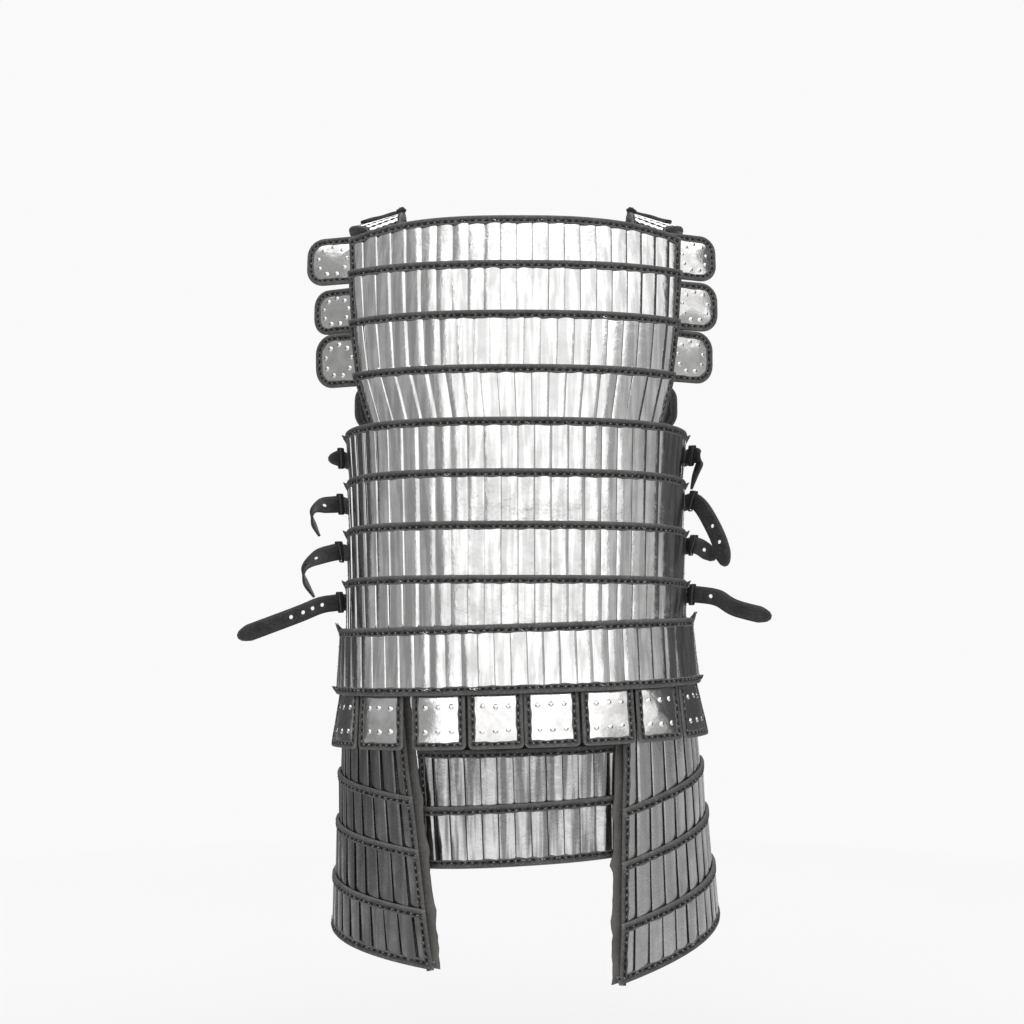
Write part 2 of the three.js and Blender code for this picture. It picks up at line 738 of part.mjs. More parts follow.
// A flat strip between two edges, each a list of points.
function strip(edges, thickness) {
  const columns = edges[0].map((inner, i) => {
    const outer = edges[1][i];
    const middle = (k) => edges[0][k].clone().add(edges[1][k]);
    const before = middle(Math.max(i - 1, 0));
    const after = middle(Math.min(i + 1, edges[0].length - 1));
    const wide = outer.clone().sub(inner);
    const thick = after.sub(before).cross(wide).normalize().multiplyScalar(thickness / 2);
    return [[inner, 1], [outer, 1], [outer, -1], [inner, -1]].map(([point, v]) => (
      point.clone().addScaledVector(thick, v)
    ));
  });
  return sweep(columns, fillWall(2));
}

for (const [name, side] of SIDES) {
  const inner = SHOULDER_STATIONS.map(([y, z]) => new THREE.Vector3(side * SHOULDER.inner, y, z));
  const outer = SHOULDER_STATIONS.map(([, z, x, y]) => (
    new THREE.Vector3(side * x, y, z - SHOULDER.fall * (x - SHOULDER.inner))
  ));
  addPiece(armour, `${name}_shoulder_strap`, strip([inner, outer], SHOULDER.thickness), STRAPPING);
}

for (const { name, side, z, turn, tail } of SIDE_STRAPS) {
  const start = STRAP_START.map(([x, y]) => new THREE.Vector3(side * x, y, z));
  const path = [...start, ...tail.map(([x, y, height]) => new THREE.Vector3(side * x, y, height))];
  const halves = path.map((point, i) => {
    const along = path[Math.min(i + 1, path.length - 1)].clone().sub(path[Math.max(i - 1, 0)]);
    along.normalize();
    const share = turn * Math.max(0, (i - start.length) / (tail.length - 1));
    const quarter = (share * Math.PI) / 2;
    const wide = new THREE.Vector3(0, Math.sin(quarter), Math.cos(quarter));
    return wide.addScaledVector(along, -wide.dot(along)).normalize().multiplyScalar(STRAP.width / 2);
  });
  const edges = [-1, 1].map((end) => path.map((point, i) => point.clone().addScaledVector(halves[i], end)));
  addPiece(armour, name, strip(edges, STRAP.thickness), STRAPPING);
}

export default armour;
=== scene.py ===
"""Looks of the lamellar armour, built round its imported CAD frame.

The wearer faces +Y, +X is the wearer's right and +Z is up. Every part of the armour lies on a
"skin": a point there is a distance along the skin, a height, and a distance out from it, so plates,
leather bindings, stitches and studs are all placed by the same three numbers. Units are metres.
"""

import math
import random

import bmesh
import bpy
import numpy as np
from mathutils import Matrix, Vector


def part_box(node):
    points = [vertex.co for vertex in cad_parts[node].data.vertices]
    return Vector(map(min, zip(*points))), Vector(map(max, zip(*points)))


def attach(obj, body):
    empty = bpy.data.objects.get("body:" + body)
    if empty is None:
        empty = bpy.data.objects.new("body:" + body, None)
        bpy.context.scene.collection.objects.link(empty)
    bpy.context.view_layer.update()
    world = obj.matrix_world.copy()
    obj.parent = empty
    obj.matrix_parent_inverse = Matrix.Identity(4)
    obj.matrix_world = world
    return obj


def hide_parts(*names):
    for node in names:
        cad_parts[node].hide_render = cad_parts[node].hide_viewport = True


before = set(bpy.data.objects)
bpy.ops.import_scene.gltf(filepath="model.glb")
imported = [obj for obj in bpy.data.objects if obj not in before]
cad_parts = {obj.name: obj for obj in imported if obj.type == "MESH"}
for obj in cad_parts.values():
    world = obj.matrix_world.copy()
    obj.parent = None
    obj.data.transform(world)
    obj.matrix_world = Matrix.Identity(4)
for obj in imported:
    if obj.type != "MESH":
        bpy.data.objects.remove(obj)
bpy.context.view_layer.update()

MM = 0.001
BODY = "root"

# ---- Driving sizes ----

ROUNDNESS = 2.4  # exponent of the rounded plan outline
PLATE = 1.6 * MM
LEATHER = 2.0 * MM
HEAD_CLEAR = 3.8 * MM  # from the backing to the inside of a row at its top
FOOT_CLEAR = 0.8 * MM  # the same at its foot
LAP = 8 * MM
BINDING = 9.5 * MM  # width of a binding, from the edge that it wraps
BINDING_PROUD = 2.2 * MM  # how far a binding stands out
SIDE_BINDING = 8 * MM
NECK_DROP = 15 * MM
SIDE_DROOP = 6 * MM
BACK_HALF_WIDTH = 188 * MM
SIDE_GAP = 16 * MM
WRAP_ROW = 4  # the first row, counted from 0, that goes round to the sides
# Half width of the backing beside each row above those, at its top and at its foot, in mm.
BACK_ENDS = {
    "left": [(191, 191), (190, 189), (187, 184), (181, 167)],
    "right": [(188, 188), (187, 186), (183, 179), (176, 164)],
}
FRONT_ENDS = {name: [(165, 165)] * 3 + [(165, 151)] for name in ("left", "right")}

# Plan rings as (height, half width, depth, how far the centre lies in front), in millimetres.
TORSO_RINGS = [
    (20, 242, 150, 57),
    (0, 240, 150, 52),
    (-55, 235, 150, 37),
    (-114, 226, 150, 25),
    (-176, 212, 143, 12),
    (-235, 197, 133, 0),
    (-292, 195, 131, 0),
    (-350, 195, 128, 0),
    (-410, 196, 128, 0),
    (-464, 198, 129, 0),
    (-540, 206, 136, 0),
]
WAIST_TOP, WAIST_FOOT = -464 * MM, -540 * MM
WAIST_RINGS = [(-464, 207, 138, 0), (-540, 213, 146, 0)]
ASKEW = math.radians(1.8)  # turn of everything from the waist down

FLAP_PITCH, FLAP_WIDTH = 64 * MM, 60 * MM
FLAP_SHIFTS = [0, 0, 7, 6, 3, 2, 1, 0]  # how far each hangs out of its even place, in mm
FLAP_TOP, FLAP_FOOT, FLAP_THICKNESS = -530 * MM, -598 * MM, 3 * MM
FLAP_RINGS = [(-530, 206.5, 138.6, 0), (-598, 223.5, 162, 0)]

SKIRT_EDGES = [-600 * MM, -660 * MM, -728 * MM]
SKIRT_HALF_WIDTH, SKIRT_SLOPE, SKIRT_BACKING_TOP = 111 * MM, 0.03, -535 * MM
SKIRT_RINGS = [(-500, 165, 138, 0), (-760, 165, 140, 0)]
SKIRT_SPACING, TASSET_SPACING = 0.6 * MM, 1.2 * MM  # between lamellae that don't overlap

TASSET_EDGES = [-544 * MM, -628 * MM, -683 * MM, -745 * MM, -807 * MM]
TASSET_BACKING_TOP = -532 * MM
# How far the tassets' inner edges lie from the middle, at top and foot, in mm.
TASSET_BACK_EDGE = {"left": (131, 104), "right": (117, 101)}
TASSET_FRONT_EDGE = 150, 128
TASSET_ROUND, TASSET_FLANGE = 25 * MM, 7 * MM
TASSET_RINGS = [
    (-532, 200.5, 134, 0),
    (-628, 209, 143, 0),
    (-683, 212.5, 147, 0),
    (-745, 218, 151, 0),
    (-807, 224.5, 155, 0),
    (-875, 230, 158, 0),
]
SIDES = [("left", -1), ("right", 1)]
TASSET_DROP = {"left": 28 * MM, "right": 49 * MM}

EAR_TUCK, EAR_INSET = 11 * MM, 3.9 * MM
EAR_ROUNDNESS, EAR_CROWN, EAR_STUDS = 0.36, 3.0 * MM, 9
EAR_SUNK = 1.6 * MM  # from an ear's skin back to the rim of its plate
# Row, turn in degrees, height, size and reach, in mm.
BACK_EARS = {
    "left": [(0, 18, -39, 58, 61.5), (1, 26, -100, 53, 57), (2, 23, -158.5, 62, 57.5)],
    "right": [(0, 22, -35, 56, 54), (1, 20, -95, 58, 55.5), (2, 24, -155, 60, 57)],
}
FRONT_EAR = (3, 24, -193, 60, 48)

# Lamellae and stitches.
PITCH = 18.3 * MM  # from one lamella to the next
OVERLAP = 4 * MM
STEEL = 0.9 * MM
BULGE = 1.3 * MM
SHINGLE = math.radians(5.2)  # how far each plate turns so that one edge lies over its neighbour
UNEVEN = 1.7  # how much that turn varies, in degrees
STITCH_PITCH = 7.8 * MM
STEP = 1.9 * MM  # length of one step along a binding


# ---- Skins ----

class Skin:
    """The surface through a stack of rings, half of it in front and half behind.

    facing is -1 for the half behind. Distances run from its middle or, where side is -1 or 1, from
    that side, and past a half's end they go on round the other half.
    """

    def __init__(self, rings, facing=-1, side=0, askew=False):
        self.heights = np.array([ring[0] for ring in rings]) * MM
        self.centres = np.array([ring[3] for ring in rings]) * MM
        self.facing, self.side, self.askew = facing, side, askew
        angle = np.linspace(0, math.pi / 2, 241)
        self.outlines = []
        for _, half_width, depth, _ in rings:
            x = half_width * MM * np.sin(angle) ** (2 / ROUNDNESS)
            y = depth * MM * np.cos(angle) ** (2 / ROUNDNESS)
            along = np.concatenate([[0], np.cumsum(np.hypot(np.diff(x), np.diff(y)))])
            slope = np.gradient(x, along), np.gradient(y, along)
            self.outlines.append((along, x, y, *slope))
        self.lengths = np.array([outline[0][-1] for outline in self.outlines])

    def level(self, height):
        """The ring above a height, and how far the height lies from it towards the next one."""
        level = np.searchsorted(-self.heights, -height, side="right") - 1
        level = np.clip(level, 0, len(self.heights) - 2)
        top, foot = self.heights[level], self.heights[level + 1]
        return level, (height - top) / (foot - top)

    def on_ring(self, ring, distance, out):
        """Places round one ring, seen from above."""
        length = self.lengths[ring]
        if self.side:
            distance = self.side * (length - distance)
        sign = np.where(distance < 0, -1.0, 1.0)
        past = np.abs(distance) > length
        along = np.where(past, 2 * length - np.abs(distance), np.abs(distance))
        turn = np.where(past, -1.0, 1.0)
        steps, x, y, dx, dy = self.outlines[ring]
        px, py = np.interp(along, steps, x), np.interp(along, steps, y)
        tx, ty = np.interp(along, steps, dx), np.interp(along, steps, dy)
        return np.stack([
            sign * (px - out * ty),
            self.facing * (turn * (py + out * tx) - self.centres[ring]),
        ], axis=-1)

    def at(self, distance, height, out):
        distance, height, out = as_arrays(distance, height, out)
        shape = distance.shape
        distance, height, out = distance.ravel(), height.ravel(), out.ravel()
        level, share = self.level(height)
        flat = np.zeros((len(distance), 2))
        for ring in range(len(self.heights)):
            for step, weight in ((0, 1 - share), (1, share)):
                chosen = level + step == ring
                if chosen.any():
                    found = self.on_ring(ring, distance[chosen], out[chosen])
                    flat[chosen] += weight[chosen, None] * found
        points = np.column_stack([flat, height])
        if self.askew:
            x, z = points[:, 0].copy(), points[:, 2] - WAIST_TOP
            points[:, 0] = x * math.cos(ASKEW) - z * math.sin(ASKEW)
            points[:, 2] = x * math.sin(ASKEW) + z * math.cos(ASKEW) + WAIST_TOP
        return points.reshape(*shape, 3)

    def reach(self, x, height):
        """How far along the skin, from the middle, a distance out to the side is."""
        level, share = self.level(np.float64(height))
        spans = [np.interp(x, self.outlines[k][1], self.outlines[k][0]) for k in (level, level + 1)]
        return spans[0] + (spans[1] - spans[0]) * share

    def half_length(self, height):
        """How far along the skin it is from the middle to the side."""
        level, share = self.level(np.float64(height))
        return self.lengths[level] + (self.lengths[level + 1] - self.lengths[level]) * share


class Flat:
    """A flat skin: a plane through a point, with its two directions."""

    def __init__(self, origin, along, up, outward):
        self.origin, self.along, self.up, self.outward = map(np.asarray, (origin, along, up, outward))

    def at(self, distance, height, out):
        distance, height, out = as_arrays(distance, height, out)
        return (
            self.origin
            + distance[..., None] * self.along
            + height[..., None] * self.up
            + out[..., None] * self.outward
        )


class Ribbon:
    """A skin along a strap. Distances run across it and "heights" along its middle line."""

    def __init__(self, inner, outer):
        inner, outer = np.asarray(inner, float), np.asarray(outer, float)
        self.middle = (inner + outer) / 2
        self.steps = path_lengths(self.middle)
        wide = outer - inner
        self.half_widths = np.linalg.norm(wide, axis=1) / 2
        self.across = unit(wide)
        self.normals = unit(np.cross(np.gradient(self.middle, axis=0), wide))
        self.length = self.steps[-1]

    def between(self, values, along):
        return np.stack([np.interp(along, self.steps, values[:, k]) for k in range(3)], axis=-1)

    def half_width(self, along):
        return np.interp(along, self.steps, self.half_widths)

    def at(self, distance, along, out):
        distance, along, out = as_arrays(distance, along, out)
        return (
            self.between(self.middle, along)
            + distance[..., None] * unit(self.between(self.across, along))
            + out[..., None] * unit(self.between(self.normals, along))
        )


def as_arrays(*values):
    """The values as arrays of one shape."""
    return np.broadcast_arrays(*(np.asarray(value, float) for value in values))


def unit(vectors):
    return vectors / np.linalg.norm(vectors, axis=-1, keepdims=True)


def mix(a, b, t):
    return a + (b - a) * t


def path_lengths(points):
    """Length along a path at each of its points."""
    steps = np.linalg.norm(np.diff(np.asarray(points, float)[:, :3], axis=0), axis=1)
    return np.concatenate([[0], np.cumsum(steps)])


def smooth_path(points, step):
    """A curve through the points (Catmull-Rom), with points about one step apart."""
    points = np.asarray(points, float)
    held = np.vstack([2 * points[0] - points[1], points, 2 * points[-1] - points[-2]])
    found = []
    for i in range(1, len(held) - 2):
        a, b, c, d = held[i - 1: i + 3]
        count = max(2, round(np.linalg.norm(c - b) / step))
        t = np.linspace(0, 1, count, endpoint=False)[:, None]
        bend, twist = 2 * a - 5 * b + 4 * c - d, 3 * b - a - 3 * c + d
        found.append(0.5 * (2 * b + (c - a) * t + bend * t**2 + twist * t**3))
    return np.vstack([*found, points[-1:]])


def even_edges(lines, step):
    """Curves through the lines, with as many points in each."""
    dense = [smooth_path(line, step) for line in lines]
    count = min(map(len, dense))
    return [path[np.linspace(0, len(path) - 1, count).round().astype(int)] for path in dense]


# ---- Meshes ----

def put(name, data):
    """A new object in the scene."""
    made = bpy.data.objects.new(name, data)
    bpy.context.scene.collection.objects.link(made)
    return made


class Shape:
    """The points and faces of one piece, gathered part by part."""

    def __init__(self):
        self.points, self.faces, self.slots, self.tints = [], [], [], []

    def add(self, points, faces, slot=0, tint=0.0):
        start = len(self.points)
        points = np.asarray(points).reshape(-1, 3)
        self.points.extend(points.tolist())
        self.faces.extend([start + i for i in face] for face in faces)
        self.slots.extend([slot] * len(faces))
        self.tints.extend([tint] * len(points))

    def make(self, name, materials, slot, sharp=38):
        """The piece itself. Its edges look sharp from that angle on, in degrees."""
        mesh = bpy.data.meshes.new(name)
        mesh.from_pydata(self.points, [], self.faces)
        mesh.polygons.foreach_set("material_index", self.slots)
        tint = mesh.attributes.new("tint", "FLOAT", "POINT")
        tint.data.foreach_set("value", self.tints)
        shell = bmesh.new()
        shell.from_mesh(mesh)
        bmesh.ops.recalc_face_normals(shell, faces=shell.faces)
        shell.to_mesh(mesh)
        shell.free()
        mesh.shade_smooth()
        mesh.set_sharp_from_angle(angle=math.radians(sharp))
        for material in materials:
            mesh.materials.append(material)
        piece = put(name, mesh)
        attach(piece, BODY)
        return piece


def grid_faces(rows, columns):
    return [
        (i * columns + j, i * columns + j + 1, (i + 1) * columns + j + 1, (i + 1) * columns + j)
        for i in range(rows - 1)
        for j in range(columns - 1)
    ]


def tube_faces(rings, size, closed=False):
    """Faces of a tube through rings of that many points, closed at its ends or on itself."""
    faces = []
    for i in range(rings if closed else rings - 1):
        here, there = i * size, (i + 1) % rings * size
        for j in range(size):
            k = (j + 1) % size
            faces.append((here + j, here + k, there + k, there + j))
    if not closed:
        faces.append(tuple(reversed(range(size))))
        faces.append(tuple(range((rings - 1) * size, rings * size)))
    return faces


def thick_sheet(shape, skin, grid, outer, inner, wave=None):
    """A sheet of even thickness over a grid of (distance, height) places; None leaves one out."""
    index, places = {}, []
    for i, row in enumerate(grid):
        for j, place in enumerate(row):
            if place is not None:
                index[i, j] = len(places)
                places.append(place)
    places = np.array(places)
    lift = 0 if wave is None else wave(places[:, 0], places[:, 1])
    points = [skin.at(places[:, 0], places[:, 1], out + lift) for out in (outer, inner)]
    faces, edges = [], {}
    for i, j in list(index):
        corners = [(i, j), (i, j + 1), (i + 1, j + 1), (i + 1, j)]
        if all(corner in index for corner in corners):
            face = [index[corner] for corner in corners]
            faces.append(face)
            for a, b in zip(face, face[1:] + face[:1]):
                if (b, a) in edges:
                    del edges[b, a]
                else:
                    edges[a, b] = True
    count = len(places)
    back = [[count + i for i in reversed(face)] for face in faces]
    rim = [(b, a, count + a, count + b) for a, b in edges]
    shape.add(np.vstack(points), faces + back + rim)


# ---- Lamellae ----

LAMELLA_ACROSS = np.array([-0.5, -0.486, -0.455, -0.33, -0.16, 0.0, 0.16, 0.33, 0.455, 0.486, 0.5])
LAMELLA_COLUMNS, LAMELLA_ROWS = len(LAMELLA_ACROSS), 8
EDGE_BEVEL = 0.25 * MM
EDGE_ROLL = 0.42 * MM  # how far a plate's long edges are filed down


def lamella_plan():
    """A plate's faces, the front points along its rim, and the way that each of those looks.

    The faces are a grid in front, a bevelled rim and a plain back.
    """
    columns, rows = LAMELLA_COLUMNS, LAMELLA_ROWS
    faces = grid_faces(rows, columns)
    top = [(0, j) for j in range(columns)]
    right = [(i, columns - 1) for i in range(1, rows)]
    foot = [(rows - 1, j) for j in reversed(range(columns - 1))]
    left = [(i, 0) for i in reversed(range(1, rows - 1))]
    rim = top + right + foot + left
    inner = [i * columns + j for i, j in rim]
    start, size = rows * columns, len(rim)
    for k in range(size):
        m = (k + 1) % size
        faces.append((inner[m], inner[k], start + k, start + m))
        faces.append((start + m, start + k, start + size + k, start + size + m))
    faces.append([start + size + k for k in range(size)])
    ways = [[(j == columns - 1) - (j == 0), (i == rows - 1) - (i == 0)] for i, j in rim]
    return faces, inner, np.array(ways, float)


LAMELLA_FACES, LAMELLA_RIM, LAMELLA_WAYS = lamella_plan()


def plate_relief(u, t, width, length, dice):
    """How far a plate's front stands out at shares u of its width and t of its length."""
    crown = BULGE * dice.uniform(0.7, 1.35) * (1 - (2 * u) ** 2)
    rolled_edges = EDGE_ROLL * np.clip((np.abs(2 * u) - 0.9) / 0.1, 0, 1) ** 1.5
    twist = dice.uniform(-0.9, 0.9) * MM * u * (t - 0.5)
    bow = dice.uniform(-0.12, 0.12) * MM * np.sin(math.pi * t) * np.cos(math.pi * u)
    rise = crown + 0 * t - rolled_edges + twist + bow
    for _ in range(dice.choice((0, 0, 1, 1, 2))):
        du, dt = dice.uniform(-0.35, 0.35), dice.uniform(0.15, 0.85)
        spread = ((u - du) * width) ** 2 + ((t - dt) * length) ** 2
        size = dice.uniform(4, 7) * MM
        rise = rise - dice.uniform(0.1, 0.3) * MM * np.exp(-spread / size**2)
    return rise


def add_lamella(shape, skin, centre, width, heights, outs, dice):
    """One steel plate. centre, heights and outs are pairs, for its top and its foot.

    They hold its distance along the skin, the function of its edge's height, and how far out it is.
    """
    (at_top, at_foot), (top_at, foot_at) = centre, heights
    head = skin.at(at_top, top_at(at_top), outs[0])
    foot = skin.at(at_foot, foot_at(at_foot), outs[1])
    middle, level = (at_top + at_foot) / 2, (top_at(at_top) + foot_at(at_foot)) / 2
    near, far = skin.at(np.array([middle - 2 * MM, middle + 2 * MM]), level, 0)
    outward = skin.at(middle, level, 5 * MM) - skin.at(middle, level, 0)
    down = foot - head
    length = np.linalg.norm(down)
    down = down / length
    side = far - near
    side = unit(side - down * side.dot(down))
    normal = np.cross(side, down)
    normal *= math.copysign(1, normal.dot(outward))
    yaw = SHINGLE + math.radians(np.clip(dice.gauss(0, UNEVEN), -2 * UNEVEN, 2 * UNEVEN))
    side, normal = (
        side * math.cos(yaw) + normal * math.sin(yaw),
        normal * math.cos(yaw) - side * math.sin(yaw),
    )
    u = LAMELLA_ACROSS[None, :]
    t = np.linspace(0, 1, LAMELLA_ROWS)[:, None]
    rise = plate_relief(u, t, width, length, dice)
    top_climb = [top_at(at_top + v * width) - top_at(at_top) for v in u[0]]
    foot_climb = [foot_at(at_foot + v * width) - foot_at(at_foot) for v in u[0]]
    climb = mix(np.array(top_climb), np.array(foot_climb), t)
    u, t = np.broadcast_arrays(u, t)
    front = head + (t * length)[..., None] * down + (u * width)[..., None] * side
    front = (front + rise[..., None] * normal - climb[..., None] * down).reshape(-1, 3)
    aside = LAMELLA_WAYS * EDGE_BEVEL
    wider = front[LAMELLA_RIM] + aside[:, :1] * side + aside[:, 1:] * down
    points = np.vstack([front, wider - EDGE_BEVEL * normal, wider - STEEL * normal])
    shape.add(points, LAMELLA_FACES, 0, dice.random())


# ---- Bindings ----

# Section of a binding from its lower lip, over the edge it wraps, and down inside: share of its
# width from that edge, and share of how far it stands out (below 0: share of its depth inside).
BINDING_SECTION = [
    (1.00, 0.02),
    (0.98, 0.42),
    (0.90, 0.72),
    (0.79, 0.70),
    (0.66, 0.56),
    (0.53, 0.76),
    (0.40, 0.95),
    (0.22, 1.00),
    (0.06, 0.72),
    (-0.02, 0.10),
    (0.02, -0.70),
    (0.20, -1.00),
    (0.60, -1.00),
    (1.00, -1.00),
]
GROOVE = 4  # which point of the section the stitches pull in
PULL_LENGTH = 1.5 * MM  # how far along the binding a stitch pulls it in
# Waves along a binding as (size, length / 2 pi): of its lower lip, and of how far it stands out.
LIP_WAVES = [(0.32, 2.6 * MM), (0.4, 6.1 * MM)]
SWELL_WAVES = [(0.5, 3.7 * MM), (0.5, 8.9 * MM)]
# Length, half thickness and height of a stitch, and of the short pale bead that shows beside most, whose
# pale colour is a painted glint.
STITCH = 3.8 * MM, 1.15 * MM, -0.4 * MM
PAINTED_GLINT_BEAD = 1.7 * MM, 0.8 * MM, 0.35 * MM


def resample(path, step):
    """The same path with points one step apart. Each point is distance, height, out and size."""
    path = np.asarray(path, float)
    steps = np.concatenate([[0], np.cumsum(np.hypot(*np.diff(path[:, :2], axis=0).T))])
    count = max(2, round(steps[-1] / step) + 1)
    at = np.linspace(0, steps[-1], count)
    return np.column_stack([np.interp(at, steps, path[:, k]) for k in range(path.shape[1])]), at


def add_binding(shape, skin, path, width, proud, deep, dice, stitched=True):
    """Leather wrapped over an edge and sewn. The edge's inner side lies to the right of the path."""
    path, at = resample(path, STEP)
    ahead = unit(np.column_stack([np.gradient(path[:, 0]), np.gradient(path[:, 1])]))
    across = np.column_stack([ahead[:, 1], -ahead[:, 0]])
    phases = [dice.uniform(0, 2 * math.pi) for _ in range(4)]
    wavy, swell = (
        sum(size * np.sin(at / length + phase) for (size, length), phase in zip(waves, starts))
        for waves, starts in ((LIP_WAVES, phases[:2]), (SWELL_WAVES, phases[2:]))
    )
    since = (at % STITCH_PITCH) / STITCH_PITCH - 0.5
    pull = np.exp(-((since * STITCH_PITCH) / PULL_LENGTH) ** 2)
    loops = []
    for k, (share, stand) in enumerate(BINDING_SECTION):
        over = share * width * path[:, 3]
        if share > 0.8:
            over = over + wavy * 0.95 * MM * path[:, 3]
        out = path[:, 2] + np.where(stand < 0, stand * deep, stand * proud) * path[:, 3]
        if stand > 0.3:
            out = out + swell * 0.16 * MM * path[:, 3]
        if abs(k - GROOVE) <= 1:
            out = out - pull * (0.9 if k == GROOVE else 0.45) * MM * path[:, 3]
        loops.append(skin.at(path[:, 0] + across[:, 0] * over, path[:, 1] + across[:, 1] * over, out))
    shape.add(np.stack(loops, axis=1), tube_faces(len(path), len(BINDING_SECTION)), 0, dice.random())
    if stitched:
        add_stitches(shape, skin, path, at, across, width, proud, dice)


def add_stitches(shape, skin, path, at, across, width, proud, dice):
    """Running stitches in a binding's groove."""
    share, stand = BINDING_SECTION[GROOVE]
    along = np.linspace(-1, 1, 5)
    round_ = np.linspace(0, 2 * math.pi, 6, endpoint=False)
    taper = np.array([0.35, 0.9, 1.0, 0.9, 0.35])[:, None]
    faces = tube_faces(len(along), len(round_))

    def add_bead(centre, size, sway, tint):
        length, thick, lift = size
        places = centre + along * length / 2
        here = [np.interp(places, at, path[:, column]) for column in range(4)]
        aside = [np.interp(places, at, across[:, column]) for column in range(2)]
        over = share * width * here[3][:, None] + taper * thick * np.cos(round_) + sway
        out = (here[2] + stand * proud * here[3] + lift)[:, None] + taper * thick * np.sin(round_)
        points = skin.at(
            here[0][:, None] + aside[0][:, None] * over,
            here[1][:, None] + aside[1][:, None] * over,
            out,
        )
        shape.add(points, faces, 1, tint)

    for k in range(int(at[-1] / STITCH_PITCH)):
        sway = dice.uniform(-0.3, 0.3) * MM
        add_bead((k + 0.5) * STITCH_PITCH, STITCH, sway, 0.8 * dice.random())
        # The short pale bead beside most stitches is a painted glint.
        if dice.random() < 0.7:
            add_bead((k + 0.97) * STITCH_PITCH, PAINTED_GLINT_BEAD, sway, 1.0)


# ---- Studs ----

STUD_PROFILE = [(3.3, -0.15), (2.5, 0.3), (1.7, 1.05), (0.8, 1.4)]  # radius and height, in mm
STUD_SIDES, STUD_SUNK = 12, 0.6 * MM


def add_stud(shape, skin, distance, height, out, dice, scale=1.0):
    """A boss raised in a plate."""
    turn = np.linspace(0, 2 * math.pi, STUD_SIDES, endpoint=False)
    rings = [(radius, out + rise * scale * MM) for radius, rise in STUD_PROFILE]
    rings.insert(0, (STUD_PROFILE[0][0], out - STUD_SUNK))
    loops = [
        skin.at(
            distance + radius * scale * MM * np.cos(turn),
            height + radius * scale * MM * np.sin(turn),
            level,
        )
        for radius, level in rings
    ]
    shape.add(np.vstack(loops), tube_faces(len(loops), STUD_SIDES), 0, dice.random())


# ---- Materials ----

class Nodes:
    """A node material being built, with a short call for each node that it uses.

    Each piece's parts carry a random number from 0 to 1, their tint, so that no two look the same.
    """

    def __init__(self, name):
        self.material = bpy.data.materials.new(name)
        self.material.use_nodes = True
        self.tree = self.material.node_tree
        self.shader = self.tree.nodes["Principled BSDF"]

    def node(self, kind, inputs=None, **settings):
        node = self.tree.nodes.new(kind)
        for key, value in settings.items():
            setattr(node, key, value)
        for key, value in (inputs or {}).items():
            if isinstance(value, bpy.types.NodeSocket):
                self.tree.links.new(value, node.inputs[key])
            else:
                node.inputs[key].default_value = value
        return node

    def place(self, scale=(1, 1, 1)):
        """Places on the armour, stretched by a scale."""
        coordinates = self.node("ShaderNodeTexCoord")
        return self.node(
            "ShaderNodeMapping", {"Vector": coordinates.outputs["Object"], "Scale": scale}
        ).outputs["Vector"]

    def noise(self, place, scale, detail=3.0, roughness=0.5, w=None):
        inputs = {"Vector": place, "Scale": scale, "Detail": detail, "Roughness": roughness}
        if w is None:
            return self.node("ShaderNodeTexNoise", inputs).outputs["Fac"]
        inputs["W"] = w
        return self.node("ShaderNodeTexNoise", inputs, noise_dimensions="4D").outputs["Fac"]

    def span(self, value, low, high, to_low=0.0, to_high=1.0):
        return self.node(
            "ShaderNodeMapRange",
            {"Value": value, "From Min": low, "From Max": high, "To Min": to_low, "To Max": to_high},
        ).outputs["Result"]

    def blend(self, factor, a, b):
        return self.node("ShaderNodeMix", {0: factor, 6: a, 7: b}, data_type="RGBA").outputs[2]

    def math(self, operation, a, b):
        return self.node("ShaderNodeMath", {0: a, 1: b}, operation=operation).outputs[0]

    def tint(self):
        return self.node("ShaderNodeAttribute", attribute_name="tint").outputs["Fac"]

    def edges(self, low, high):
        """1 along raised edges and 0 elsewhere."""
        geometry = self.node("ShaderNodeNewGeometry")
        return self.span(geometry.outputs["Pointiness"], low, high)

    def bump(self, height, distance, below=None):
        inputs = {"Height": height, "Distance": distance, "Strength": 1.0}
        if below is not None:
            inputs["Normal"] = below
        return self.node("ShaderNodeBump", inputs).outputs["Normal"]

    def connect(self, **sockets):
        for name, value in sockets.items():
            self.tree.links.new(value, self.shader.inputs[name.replace("_", " ")])
        return self.material


def grey(value, warm=0.0):
    """A grey, with more red and less blue where it is warm."""
    return (value * (1 + warm), value, value * (1 - warm), 1)


def darker(colour, share):
    """The same colour at a share of its brightness."""
    return tuple(channel * share for channel in colour[:3]) + (1,)


